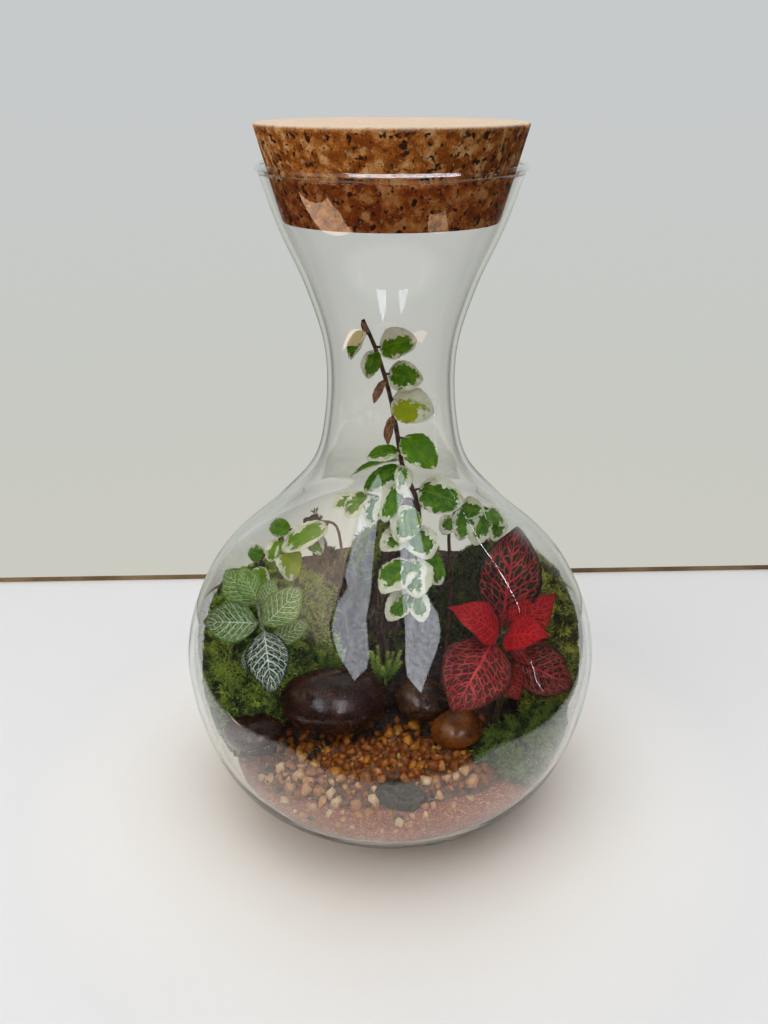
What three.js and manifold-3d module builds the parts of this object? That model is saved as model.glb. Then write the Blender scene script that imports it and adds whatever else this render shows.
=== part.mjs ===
// Glass plant terrarium: a carafe-shaped flask with a wide cork, planted with two net-leaf plants
// and a variegated creeping fig over sand, gravel, soil, moss, polished stones and driftwood.
// Millimetres, +Z up, origin under the middle of the flask's foot. The front of the planting faces -Y.

import * as THREE from 'three';
import { mergeVertices } from 'three/addons/utils/BufferGeometryUtils.js';
import Module from 'manifold-3d';

const wasm = await Module();
wasm.setup();

// ---------------------------------------------------------------- driving dimensions

const GAP = 0.35;           // clearance kept between pieces that lie against each other
const STEEP_GAP = 1.4;      // the same under the steep sides of the moss, measured upwards
const TURN = 24;            // facets round the flask, the cork and what fills the flask

// Flask: the outer wall as [radius, height], a smooth curve through these points.
const OUTER_WALL = [
  [45, 0], [77.5, 22], [90, 70], [78, 109], [50.5, 137], [32.5, 158],
  [26.5, 180], [26, 206], [32.5, 230], [42, 252], [48.4, 270.5],
];
const WALL_STEPS = 20;      // straight runs that the curve is cut into
const WALL = 2;             // thickness of the blown wall
const FLOOR = 5;            // thickness of the glass under the sand
const FLOOR_RADIUS = 46;    // where the inner floor turns up into the wall
const LIP = { radius: 48.3, height: 273, bead: 2 };  // fire-rounded rim

const CORK = { bottom: 255.6, top: 288.4, radiusBottom: 40.9, radiusTop: 49.5, bevel: 0.8 };

// Layers in the flask: each has a height field and the size of its cells.
const REACH = 92;           // half-width that every layer is drawn to before the flask trims it
const GROUND_CELL = 14;     // sand and soil
const GRAVEL_CELL = 9;
const MOSS_CELL = 8;
const SAND_LEVEL = 24;
const SOIL_FRONT = { y: -28, z: 22 };
const SOIL_BACK = { y: 60, z: 75 };

// Gravel heap in front of the stones.
const HEAP = { x: -2, y: -34, halfWidth: 60, halfDepth: 24, rise: 8.5 };
const GRAINS = { count: 36, smallest: 2.6, largest: 4.2, seed: 7 };

// Moss cushions: domes given by their middle [x, y], radius and crown height.
const MOSS = {
  moss_left: {
    x: [-REACH, -22 - GAP / 2],
    y: [-REACH, REACH],
    domes: [[-75, -4, 24, 58], [-62, 32, 38, 86], [-44, 32, 22, 74], [-62, 8, 22, 62]],
  },
  moss_back: {
    x: [-22 + GAP / 2, 24 - GAP / 2],
    y: [-REACH, REACH],
    domes: [[1, 56, 24, 94], [2, 74, 24, 90]],
  },
  moss_right: {
    x: [24 + GAP / 2, REACH],
    y: [-12 + GAP / 2, REACH],
    domes: [[80, 8, 24, 66], [64, 38, 40, 97], [47, 34, 24, 86], [56, 16, 18, 56]],
  },
  moss_front: {
    x: [30, REACH],
    y: [-REACH, -12 - GAP / 2],
    domes: [[58, -28, 19, 38], [68, -38, 15, 34], [45, -31, 12, 33], [74, -20, 16, 44]],
  },
};

// Polished stones: middle, half-axes, turn about Z and lean about Y in degrees.
const STONES = {
  stone_large: { at: [-25, -12, 45], half: [24, 17.5, 14.5], turn: 8, lean: 4, detail: 2 },
  stone_flat: { at: [-61.5, -25, 38], half: [14.5, 10.5, 6.2], turn: -12, lean: -5, detail: 1 },
  stone_mid: { at: [16, -4, 40], half: [15, 11, 9], turn: -10, lean: 6, detail: 1 },
  stone_amber: { at: [30, -23, 38], half: [11.5, 10, 8.5], turn: 20, lean: -8, detail: 1 },
};
const SLATE = { at: [4.5, -53, 27.2], half: [10.5, 6.5, 3.6], turn: -6, lean: 3 };

// Driftwood: limbs as points with a radius at each end.
const DRIFTWOOD = [
  { route: [[-2, 26, 46], [-4, 27, 72], [3, 30, 98], [8, 29, 126]], radius: [9, 5] },
  { route: [[-4, 27, 66], [-20, 27, 86], [-33, 25, 104], [-37, 26, 120]], radius: [6.5, 3.5] },
  { route: [[2, 28, 90], [14, 25, 102], [20, 27, 112]], radius: [4.5, 2.2] },
];

const WOOD = { sides: 8, steps: 7, knots: 0.09 };

// Leaf kinds: the rows along the midrib, the points across each row, the outline's two exponents,
// the crenate and rippled edge as parts of the width, and the thickness.
const FIG_LEAF = {
  rows: [0.09, 0.28, 0.5, 0.72, 0.9], across: 3, bulge: 0.85, blunt: 0.6,
  crenate: 0.06, ripple: 0.05, thickness: 0.7,
};
const NET_LEAF = {
  rows: [0.06, 0.19, 0.34, 0.5, 0.66, 0.81, 0.93], across: 3, bulge: 0.78, blunt: 0.8,
  crenate: 0.025, ripple: 0.03, thickness: 0.8,
};
const SPRIG_LEAF = {
  rows: [0.5], across: 3, bulge: 0.9, blunt: 0.8,
  crenate: 0, ripple: 0, thickness: 0.7,
};
const STALK = 0.6;          // half the width of a leaf stalk
const STEM_SIDES = 5;

const FRONT = [0, -0.92, 0.4];   // the way a leaf faces that is turned to the front

// Creeping fig: stems as routes, leaves as [base, tip, width, the way the upper side faces].
const FIG_CENTRE = {
  kind: FIG_LEAF,
  stems: [
    { route: [[8, 14, 37], [10, 11, 80], [12, 6, 112], [11.5, 1, 138], [5, 0, 156], [2.5, 1, 171],
      [-0.5, 1, 187], [-6, 0, 206], [-11, 0, 217.5]], radius: [1.5, 0.8] },
    { route: [[6, 0, 154], [4, -4, 142], [8, -8, 130], [11, -11, 116], [9, -13, 102]], radius: [0.9, 0.6] },
    { route: [[11, 3, 130], [0, 1, 138], [-9, 3, 141], [-15, 4, 139]], radius: [0.9, 0.6] },
  ],
  leaves: [
    [[-4.5, 0, 206.5], [10, -5, 210.5], 13, [-0.1, -0.9, 0.5]],
    [[-1, 1, 195.5], [12.5, -5, 194.5], 12.5, [0.1, -1, 0.3]],
    [[0.5, 1, 184.5], [17, -6, 181], 15.5, FRONT],
    [[-10.5, 0, 213.5], [-16, -3, 202.5], 6.5, [-0.6, -0.8, 0]],
    [[-6, 0, 205.5], [-9, -6, 195.5], 8, [-0.3, -1, 0.1]],
    [[5, 0, 168.5], [18, -9, 158.5], 13.5, [0.3, -1, 0.5]],
    [[3.5, 0, 162.5], [-9.5, -6, 161.5], 7.5, [0, -0.75, 0.7]],
    [[4, 2, 158], [-17, 1, 150.5], 5, [0, -0.2, 1]],
    [[4.5, 0, 155.5], [-11, -3, 145.5], 10, [-0.2, -1, 0.2]],
    [[5.5, -2, 157], [4, -12, 148], 8, [0.3, -0.9, 0.5]],
    [[12, 0, 145.5], [30, -8, 142], 16, FRONT],
    [[2, -5, 149.5], [-2.5, -15, 136.5], 9, [-0.2, -1, 0.3]],
    [[4.5, -4, 143], [-7, -13, 137], 9, [-0.2, -0.6, 0.8]],
    [[8, -8, 141], [3.5, -19, 129], 13, [0.1, -0.9, 0.5]],
    [[9, -8, 130], [17, -17, 121], 14, [0.3, -0.9, 0.4]],
    [[8, -8, 129], [-4, -15, 124], 11, [-0.3, -0.8, 0.6]],
    [[10, -12, 116], [-4, -22, 107.5], 15, [-0.2, -0.6, 0.9]],
    [[11, -11, 118], [11, -24, 106], 14, [0.1, -0.9, 0.4]],
    [[12, -9, 119], [22, -14, 107], 11, [0.5, -0.9, 0.2]],
    [[9, -13, 104], [-1, -22, 94], 11, [-0.3, -0.9, 0.3]],
    [[10, -13, 103], [14, -23, 94], 10, [0.2, -0.9, 0.3]],
    [[-9, 3, 141.5], [-19, -2, 133], 10, [-0.2, -0.8, 0.6]],
    [[-14, 4, 140], [-25, 3, 135], 9, [-0.1, -0.5, 0.9]],
    [[-6, 2, 141], [-9, -6, 131], 9, [-0.1, -1, 0.3]],
  ],
};
const FIG_LEFT = {
  kind: FIG_LEAF,
  stems: [
    { route: [[-18, 17, 40], [-22, 14, 84], [-22, 11, 112], [-25, 12, 123], [-33, 14, 123], [-43, 16, 119],
      [-52, 16, 112], [-59, 14, 103], [-62, 11, 94]], radius: [1.1, 0.6] },
  ],
  leaves: [
    [[-29, 13, 124], [-43, 5, 112], 11, [-0.2, -0.7, 0.7]],
    [[-38, 15, 121], [-31, 9, 109], 9, [0.2, -0.9, 0.4]],
    [[-45, 16, 118], [-55, 20, 119], 9, [-0.3, -0.8, 0.5]],
    [[-50, 16, 114], [-54, 8, 106], 8, [-0.3, -0.9, 0.3]],
    [[-57, 15, 106], [-65, 17, 107], 8, [-0.4, -0.8, 0.5]],
    [[-48, 15, 113], [-44, 5, 98], 12, [0.3, -0.9, 0.3]],
    [[-60, 13, 101], [-57, 5, 92], 9, [0, -0.95, 0.3]],
    [[-61, 12, 97], [-69, 8, 89], 8, [-0.4, -0.9, 0.2]],
  ],
};
const FIG_RIGHT = {
  kind: FIG_LEAF,
  stems: [
    { route: [[27, 18, 40], [28, 15, 90], [27, 11, 126], [33, 10, 134], [42, 11, 131.5], [49, 11, 127]],
      radius: [1.1, 0.6] },
  ],
  leaves: [
    [[31, 10, 133], [40, 3, 134], 10, [0.1, -0.9, 0.5]],
    [[42, 11, 131.5], [50, 5, 126], 8.5, [0.2, -0.9, 0.5]],
    [[28, 10, 128], [22.5, 2, 123], 9, [-0.1, -0.9, 0.5]],
    [[32, 11, 131], [30, 2, 120], 10, [0.2, -0.9, 0.3]],
    [[40, 11, 131], [37, 3, 117], 11, [0, -0.95, 0.3]],
    [[48, 11, 127.5], [45, 3, 119], 8, [0.2, -0.9, 0.3]],
  ],
};

// Net-leaf plants: one with red veins, one with white veins.
const FITTONIA_RED = {
  kind: NET_LEAF,
  stems: [
    { route: [[49, -8, 26], [51, -10, 56], [49, -14, 82]], radius: [1.6, 1.2] },
  ],
  leaves: [
    [[48.5, -12, 84], [52.5, -7, 130.5], 27, [-0.1, -0.97, 0.15]],
    [[47, -17, 83], [24, -28, 104], 19, [-0.3, -0.55, 0.8]],
    [[52, -13, 84], [70, -16, 104], 18, [0.05, -0.9, 0.45]],
    [[49, -19, 84], [65, -34, 94], 18, [0.1, -0.6, 0.8]],
    [[44, -22, 84], [25.5, -52, 69], 30, [-0.15, -0.85, 0.55]],
    [[54, -13, 70], [80, -22, 60], 23, [0.3, -0.8, 0.5]],
    [[49, -15, 68], [56, -27, 57], 13, [0.1, -0.9, 0.3]],
    [[52, -11, 73], [71, -11, 72], 15, [0.2, -0.75, 0.6]],
  ],
};
const FITTONIA_WHITE = {
  kind: NET_LEAF,
  stems: [
    { route: [[-54, -9, 37], [-56, -12, 64], [-56, -13, 86], [-58, -6, 93]], radius: [1.4, 0.9] },
  ],
  leaves: [
    [[-57, -15, 88], [-80, -17, 90], 18, [-0.1, -0.8, 0.6]],
    [[-55, -13, 86], [-39, -6, 101], 16, [0.25, -0.9, 0.35]],
    [[-54, -18, 86], [-48.5, -41, 70], 18.5, [0.1, -0.85, 0.5]],
    [[-59, -7, 93], [-73, 4, 104], 16, [-0.25, -0.8, 0.55]],
    [[-58, -7, 95], [-65, 1, 107], 11, [0, -0.9, 0.4]],
    [[-53, -10, 74], [-36, -4, 82], 11, [0.2, -0.6, 0.8]],
    [[-57, -14, 76], [-63, -27, 72], 9, [-0.2, -0.8, 0.5]],
    [[-56, -8, 92], [-51, -3, 103.5], 9.5, [0.2, -0.9, 0.4]],
  ],
};

// Small club-moss sprigs between the stones: foot, spread, height and number of blades.
const SPRIGS = {
  sprig_left: { foot: [-28.5, 7.5, 35], reach: 7, rise: 30, blades: 6, seed: 3 },
  sprig_centre: { foot: [-3, 8, 35], reach: 8, rise: 23, blades: 6, seed: 12 },
};

const COLOURS = {
  glass: 0xe9efec, cork: 0xb98550, sand: 0xc9806a, gravel: 0xc79a5e, soil: 0x2c2119, moss: 0x44611f,
  stoneDark: 0x33201c, stoneBrown: 0x5e3f2a, stoneAmber: 0x9a5f1e, slate: 0x555f5c, wood: 0x6d5a4c,
  fig: 0x6f9a45, red: 0x9c1f2b, white: 0x5f8a55, sprig: 0x7fae3a,
};

const stoneColours = {
  stone_large: COLOURS.stoneDark, stone_flat: COLOURS.stoneDark,
  stone_mid: COLOURS.stoneBrown, stone_amber: COLOURS.stoneAmber,
};

// ---------------------------------------------------------------- solids

// A closed three.js geometry as a solid: shared corners merged, empty triangles dropped.
function solid(geometry) {
  geometry.deleteAttribute('normal');
  geometry.deleteAttribute('uv');
  const merged = mergeVertices(geometry);
  const corners = merged.index.array;
  const kept = [];
  for (let i = 0; i < corners.length; i += 3) {
    const [a, b, c] = [corners[i], corners[i + 1], corners[i + 2]];
    if (a !== b && b !== c && c !== a) kept.push(a, b, c);
  }
  return new wasm.Manifold(new wasm.Mesh({
    numProp: 3,
    vertProperties: new Float32Array(merged.getAttribute('position').array),
    triVerts: new Uint32Array(kept),
  }));
}

// The biggest body of a solid: what a cut leaves loose is dropped.
function largest(shape) {
  const bodies = shape.decompose();
  return bodies.reduce((best, body) => (body.volume() > best.volume() ? body : best));
}

const union = (shapes) => wasm.Manifold.union(shapes);

function addPiece(name, shape, colour, finish = {}) {
  const mesh = shape.getMesh();
  const geometry = new THREE.BufferGeometry();
  geometry.setAttribute('position', new THREE.BufferAttribute(mesh.vertProperties, 3));
  geometry.setIndex(new THREE.BufferAttribute(mesh.triVerts, 1));
  geometry.computeVertexNormals();
  const material = new THREE.MeshStandardMaterial({ color: colour, roughness: 0.8, metalness: 0, ...finish });
  const piece = new THREE.Mesh(geometry, material);
  piece.name = name;
  terrarium.add(piece);
}

function lathe(profile) {
  const points = profile.map(([r, z]) => new THREE.Vector2(r, z));
  return solid(new THREE.LatheGeometry(points, TURN).rotateX(Math.PI / 2));
}

// A polyline moved sideways by a distance, towards the axis for a wall that is drawn upwards.
function inset(points, distance) {
  const normals = points.slice(1).map(([r, z], i) => {
    const [r0, z0] = points[i];
    const length = Math.hypot(r - r0, z - z0);
    return [-(z - z0) / length, (r - r0) / length];
  });
  return points.map(([r, z], i) => {
    const before = normals[Math.max(i - 1, 0)];
    const after = normals[Math.min(i, normals.length - 1)];
    const sum = [before[0] + after[0], before[1] + after[1]];
    const scale = distance / (sum[0] * after[0] + sum[1] * after[1]);
    return [r + sum[0] * scale, z + sum[1] * scale];
  });
}

// Random numbers that come out the same on every run.
function dice(seed) {
  let state = seed;
  return () => {
    state = (state * 16807) % 2147483647;
    return state / 2147483647;
  };
}

const vec = (p) => new THREE.Vector3(...p);
const radians = THREE.MathUtils.degToRad;
const { clamp, lerp } = THREE.MathUtils;

// ---------------------------------------------------------------- flask and cork

const outerWall = new THREE.SplineCurve(OUTER_WALL.map(([r, z]) => new THREE.Vector2(r, z)))
  .getPoints(WALL_STEPS)
  .map((p) => [p.x, p.y]);
const innerWall = inset(outerWall, WALL).filter(([, z]) => z > FLOOR + GAP);
const innerSurface = [[0, FLOOR], [FLOOR_RADIUS, FLOOR], ...innerWall];

function flask() {
  const lip = [-50, 0, 50, 90, 130, 180, 230].map((angle) => [
    LIP.radius + LIP.bead * Math.cos(radians(angle)),
    LIP.height + LIP.bead * Math.sin(radians(angle)),
  ]);
  return lathe([[0, 0], ...outerWall, ...lip, ...innerSurface.slice().reverse()]);
}

// Everything that the glass encloses up to the cork, kept clear of the wall.
function cavity() {
  const surface = inset(innerSurface, GAP);
  surface[0][0] = 0;
  return lathe([...surface, [0, surface.at(-1)[1]]]);
}

function cork() {
  const { bottom, top, radiusBottom, radiusTop, bevel } = CORK;
  return lathe([
    [0, bottom], [radiusBottom - bevel, bottom], [radiusBottom, bottom + bevel],
    [radiusTop, top - bevel], [radiusTop - bevel, top], [0, top],
  ]);
}

// ---------------------------------------------------------------- layers

const DEEP = -5;            // bottom of every layer's block, under the flask's floor

const sandTop = (x, y) => SAND_LEVEL + 0.035 * x + 0.6 * Math.sin(x / 13) + 0.5 * Math.sin(y / 11);

function soilTop(x, y) {
  const part = clamp((y - SOIL_FRONT.y) / (SOIL_BACK.y - SOIL_FRONT.y), 0, 1);
  const fallOff = 0.6 * Math.max(0, SOIL_FRONT.y - y);
  return lerp(SOIL_FRONT.z, SOIL_BACK.z, part ** 1.15) - fallOff + 1.2 * Math.sin(x / 9) * Math.cos(y / 8);
}

function gravelTop(x, y) {
  const reach = ((x - HEAP.x) / HEAP.halfWidth) ** 2 + ((y - HEAP.y) / HEAP.halfDepth) ** 2;
  return sandTop(x, y) + HEAP.rise * (1 - reach) + 0.8 * Math.sin(x / 5 + y / 4);
}

function mossTop(domes) {
  return (x, y) => {
    let height = DEEP + 1;
    for (const [cx, cy, radius, crown] of domes) {
      const spread = 1 - ((x - cx) ** 2 + (y - cy) ** 2) / radius ** 2;
      if (spread > 0) height = Math.max(height, crown - 0.75 * radius * (1 - Math.sqrt(spread)));
    }
    return height + 1.3 * Math.sin(x / 4.1) * Math.cos(y / 4.7);
  };
}

// A block whose top follows a height field, raised where something must lie clear above it.
function layer(height, cell, raise = 0, x = [-REACH, REACH], y = [-REACH, REACH]) {
  const width = x[1] - x[0];
  const depth = y[1] - y[0];
  const cells = [Math.round(width / cell), Math.round(depth / cell)];
  const geometry = new THREE.BoxGeometry(width, depth, 1, ...cells, 1);
  geometry.translate((x[0] + x[1]) / 2, (y[0] + y[1]) / 2, 0);
  const position = geometry.getAttribute('position');
  for (let i = 0; i < position.count; i += 1) {
    const top = height(position.getX(i), position.getY(i)) + raise;
    position.setZ(i, position.getZ(i) > 0 ? top : DEEP);
  }
  return solid(geometry);
}

// ---------------------------------------------------------------- stones and gravel

function pebble({ at, half, turn, lean, detail }, swell = 0) {
  const geometry = new THREE.IcosahedronGeometry(1, detail);
  const position = geometry.getAttribute('position');
  for (let i = 0; i < position.count; i += 1) {
    const p = new THREE.Vector3().fromBufferAttribute(position, i);
    const uneven = 1 + 0.035 * Math.sin(3 * p.x + half[0]) + 0.03 * Math.cos(4 * p.y + half[1]);
    p.multiplyScalar(uneven).multiply(vec(half.map((h) => h + swell)));
    position.setXYZ(i, p.x, p.y, p.z);
  }
  geometry.rotateY(radians(lean)).rotateZ(radians(turn)).translate(...at);
  return solid(geometry);
}

// A split chip of slate: a flat many-sided plate with bevelled edges.
function slate(swell = 0) {
  const { at, half, turn, lean } = SLATE;
  const [a, b, c] = half.map((h) => h + swell);
  const corners = [[-1, -0.2], [-0.55, -0.9], [0.5, -1], [1, -0.25], [0.7, 0.75], [-0.3, 1], [-0.9, 0.6]];
  const outline = new THREE.Shape(corners.map(([x, y]) => new THREE.Vector2(x * a, y * b)));
  const bevel = 0.45 * c;
  const geometry = new THREE.ExtrudeGeometry(outline, {
    depth: 2 * (c - bevel), bevelSize: bevel, bevelThickness: bevel, bevelOffset: -bevel, bevelSegments: 1,
  });
  geometry.translate(0, 0, bevel - c);
  geometry.rotateY(radians(lean)).rotateZ(radians(turn)).translate(...at);
  return solid(geometry);
}

// Angular grains of quartz sunk into the heap, thinner towards its edge.
function grains() {
  const roll = dice(GRAINS.seed);
  return Array.from({ length: GRAINS.count }, () => {
    const angle = roll() * 2 * Math.PI;
    const spread = 0.86 * Math.sqrt(roll());
    const x = HEAP.x + HEAP.halfWidth * spread * Math.cos(angle);
    const y = HEAP.y + HEAP.halfDepth * spread * Math.sin(angle);
    const size = lerp(GRAINS.smallest, GRAINS.largest, roll());
    const geometry = new THREE.OctahedronGeometry(size);
    geometry.scale(1, lerp(0.75, 1, roll()), lerp(0.7, 0.95, roll()));
    geometry.rotateX(roll() * 6).rotateZ(roll() * 6);
    geometry.translate(x, y, gravelTop(x, y) + 0.25 * size);
    return solid(geometry);
  });
}

// ---------------------------------------------------------------- stems and leaves

// A round limb along a smooth route, its radius running from radius[0] to radius[1].
function limb({ route, radius }, sides, steps, swell = 0, knots = 0) {
  const curve = new THREE.CatmullRomCurve3(route.map(vec));
  const frames = curve.computeFrenetFrames(steps);
  const corners = [];
  for (let i = 0; i <= steps; i += 1) {
    const middle = curve.getPointAt(i / steps);
    if (i === 0) middle.addScaledVector(frames.tangents[0], -swell);
    const r = lerp(radius[0], radius[1], i / steps) * (1 + knots * Math.sin(i * 2.1)) + swell;
    for (let j = 0; j < sides; j += 1) {
      const angle = (j / sides) * 2 * Math.PI;
      const uneven = r * (1 + knots * Math.cos(3 * angle + i));
      const out = frames.normals[i].clone().multiplyScalar(uneven * Math.cos(angle))
        .addScaledVector(frames.binormals[i], uneven * Math.sin(angle));
      corners.push(...middle.clone().add(out).toArray());
    }
  }
  const faces = [];
  for (let i = 0; i < steps; i += 1) {
    for (let j = 0; j < sides; j += 1) {
      const [a, b] = [i * sides + j, i * sides + ((j + 1) % sides)];
      faces.push(a, b, b + sides, a, b + sides, a + sides);
    }
  }
  const last = steps * sides;
  for (let j = 1; j < sides - 1; j += 1) {
    faces.push(0, j + 1, j, last, last + j, last + j + 1);
  }
  return solid(indexed(corners, faces));
}

function indexed(corners, faces) {
  const geometry = new THREE.BufferGeometry();
  geometry.setAttribute('position', new THREE.BufferAttribute(new Float32Array(corners), 3));
  geometry.setIndex(faces);
  return geometry;
}

// A leaf: a narrow stalk from the stem to the base of the blade, then rows of points to the tip.
// The blade is arched along its midrib, a little folded at it and waved at its edge, and both of
// its faces are split into the same triangles.
function leafSolid([from, to, width, faces], kind, start) {
  const base = vec(from);
  const along = vec(to).sub(base);
  const length = along.length();
  const { rows, across, thickness } = kind;

  const frame = (direction) => {
    const side = new THREE.Vector3().crossVectors(direction, vec(faces)).normalize();
    return { side, up: new THREE.Vector3().crossVectors(side, direction).normalize() };
  };
  const bladeFrame = frame(along);

  const sections = rows.map((u, i) => {
    const outline = Math.sin(Math.PI * u ** kind.bulge) ** kind.blunt;
    const halfWidth = (width / 2) * outline * (1 + kind.crenate * (i % 2 ? 1 : -1));
    const arch = 0.1 * length * Math.sin(Math.PI * u);
    const lift = (v) => arch + 0.18 * halfWidth * Math.abs(v)
      + kind.ripple * width * Math.abs(v) * Math.sin(2.4 * i + Math.sign(v));
    return { middle: base.clone().addScaledVector(along, u), halfWidth, lift, ...bladeFrame };
  });
  sections.unshift({ middle: base, halfWidth: STALK, lift: () => 0, ...bladeFrame });
  const stalk = base.clone().sub(start);
  if (stalk.length() > 2 * STALK) {
    sections.unshift({ middle: start, halfWidth: STALK, lift: () => thickness / 2, ...frame(stalk) });
  }

  const face = (drop) => [
    ...sections.flatMap(({ middle, halfWidth, lift, side, up }) => Array.from({ length: across }, (_, j) => {
      const v = (2 * j) / (across - 1) - 1;
      return middle.clone().addScaledVector(side, halfWidth * v).addScaledVector(up, lift(v) - drop);
    })),
    vec(to).addScaledVector(bladeFrame.up, -drop),
  ];
  const at = (row, j) => row * across + j;
  const lastRow = sections.length - 1;
  const tip = sections.length * across;
  const upper = [];
  for (let j = 0; j < across - 1; j += 1) {
    for (let row = 0; row < lastRow; row += 1) {
      const [a, b, c, d] = [at(row, j), at(row, j + 1), at(row + 1, j + 1), at(row + 1, j)];
      if (j < (across - 1) / 2) upper.push([a, b, c], [a, c, d]);
      else upper.push([a, b, d], [b, c, d]);
    }
    upper.push([at(lastRow, j), at(lastRow, j + 1), tip]);
  }
  const rim = [
    ...sections.map((_, row) => at(row, across - 1)), tip,
    ...sections.map((_, row) => at(lastRow - row, 0)),
    ...Array.from({ length: across - 2 }, (_, j) => at(0, j + 1)),
  ];
  const low = tip + 1;
  const triangles = [
    ...upper.flat(),
    ...upper.flatMap(([a, b, c]) => [a + low, c + low, b + low]),
    ...rim.flatMap((a, i) => {
      const b = rim[(i + 1) % rim.length];
      return [b, a, a + low, b, a + low, b + low];
    }),
  ];
  const corners = [...face(0), ...face(thickness)].flatMap((p) => p.toArray());
  return solid(indexed(corners, triangles));
}

// The point of a plant's stems that a leaf grows from.
function nearestOnStems(from, stems) {
  const points = stems.flatMap(({ route }) => new THREE.CatmullRomCurve3(route.map(vec)).getSpacedPoints(60));
  const base = vec(from);
  return points.reduce((best, point) => (point.distanceTo(base) < best.distanceTo(base) ? point : best));
}

const stemSteps = ({ route }) => 2 * (route.length - 1);

function plant({ kind, stems, leaves }) {
  return largest(union([
    ...stems.map((stem) => limb(stem, STEM_SIDES, stemSteps(stem))),
    ...leaves.map((leaf) => leafSolid(leaf, kind, nearestOnStems(leaf[0], stems))),
  ]));
}

// The plain hole that the foot of a plant stands in.
const stemHole = ({ stems: [stem] }) => limb(stem, STEM_SIDES, stemSteps(stem), GAP);

function sprigStalk({ foot: [x, y, z], rise }, swell = 0) {
  const route = [[x, y, z], [x + 1, y - 1, z + 0.3 * rise], [x, y, z + 0.55 * rise]];
  return limb({ route, radius: [1, 0.8] }, STEM_SIDES, 3, swell);
}

function sprig(plan) {
  const { foot: [x, y, z], reach, rise, blades, seed } = plan;
  const roll = dice(seed);
  const leaves = Array.from({ length: blades }, (_, i) => {
    const angle = (i / blades) * 2 * Math.PI + roll();
    const out = reach * lerp(0.7, 1, roll());
    const height = z + rise * lerp(0.3, 0.52, i / blades);
    const from = [x + 2 * Math.cos(angle), y + 2 * Math.sin(angle), height];
    const to = [x + out * Math.cos(angle), y + out * Math.sin(angle), z + rise * lerp(0.7, 1, roll())];
    const start = new THREE.Vector3(x, y, height);
    return leafSolid([from, to, 4, [-Math.cos(angle), -Math.sin(angle), 1.4]], SPRIG_LEAF, start);
  });
  return largest(union([sprigStalk(plan), ...leaves]));
}

// ---------------------------------------------------------------- the terrarium

const terrarium = new THREE.Group();

const inside = cavity();
const underSand = layer(sandTop, GROUND_CELL, GAP);
const underSoil = layer(soilTop, GROUND_CELL, GAP);
const stoneSeats = union([...Object.values(STONES).map((stone) => pebble(stone, GAP)), slate(GAP)]);
const driftwood = (swell) => union(DRIFTWOOD.map((part) => (
  limb(part, WOOD.sides, WOOD.steps, swell, WOOD.knots))));
const plants = {
  fig_centre: [FIG_CENTRE, COLOURS.fig],
  fig_left: [FIG_LEFT, COLOURS.fig],
  fig_right: [FIG_RIGHT, COLOURS.fig],
  fittonia_red: [FITTONIA_RED, COLOURS.red],
  fittonia_white: [FITTONIA_WHITE, COLOURS.white],
};
const holes = union([
  stoneSeats, driftwood(GAP),
  ...Object.values(plants).map(([plan]) => stemHole(plan)),
  ...Object.values(SPRIGS).map((plan) => sprigStalk(plan, GAP)),
]);

addPiece('glass_flask', flask(), COLOURS.glass, { roughness: 0.03, transparent: true, opacity: 0.25 });
addPiece('cork_stopper', cork(), COLOURS.cork, { roughness: 0.85 });

const sand = layer(sandTop, GROUND_CELL).intersect(inside).subtract(holes);
addPiece('sand_bed', largest(sand), COLOURS.sand);

const soil = layer(soilTop, GROUND_CELL).intersect(inside).subtract(underSand).subtract(holes);
addPiece('soil_mound', largest(soil), COLOURS.soil);

for (const [name, { x, y, domes }] of Object.entries(MOSS)) {
  const cushion = layer(mossTop(domes), MOSS_CELL, 0, x, y)
    .intersect(inside).subtract(underSand).subtract(underSoil).subtract(holes);
  addPiece(name, largest(cushion), COLOURS.moss);
}

const underMoss = union(Object.values(MOSS).map(({ x, y, domes }) => (
  layer(mossTop(domes), MOSS_CELL, STEEP_GAP, x, y))));
const gravel = union([layer(gravelTop, GRAVEL_CELL), ...grains()])
  .intersect(inside).subtract(underSand).subtract(underSoil).subtract(underMoss).subtract(holes);
addPiece('gravel_heap', largest(gravel), COLOURS.gravel);

for (const [name, stone] of Object.entries(STONES)) {
  addPiece(name, pebble(stone), stoneColours[name], { roughness: 0.15 });
}
addPiece('slate_chip', slate(), COLOURS.slate, { roughness: 0.5 });
addPiece('driftwood', driftwood(0), COLOURS.wood);

for (const [name, [plan, colour]] of Object.entries(plants)) {
  addPiece(name, plant(plan), colour, { roughness: 0.5 });
}
for (const [name, plan] of Object.entries(SPRIGS)) addPiece(name, sprig(plan), COLOURS.sprig);

export default terrarium;
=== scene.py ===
import math
import random
from functools import partial

import bmesh
import bpy
import numpy as np
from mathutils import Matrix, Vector, noise

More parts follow.
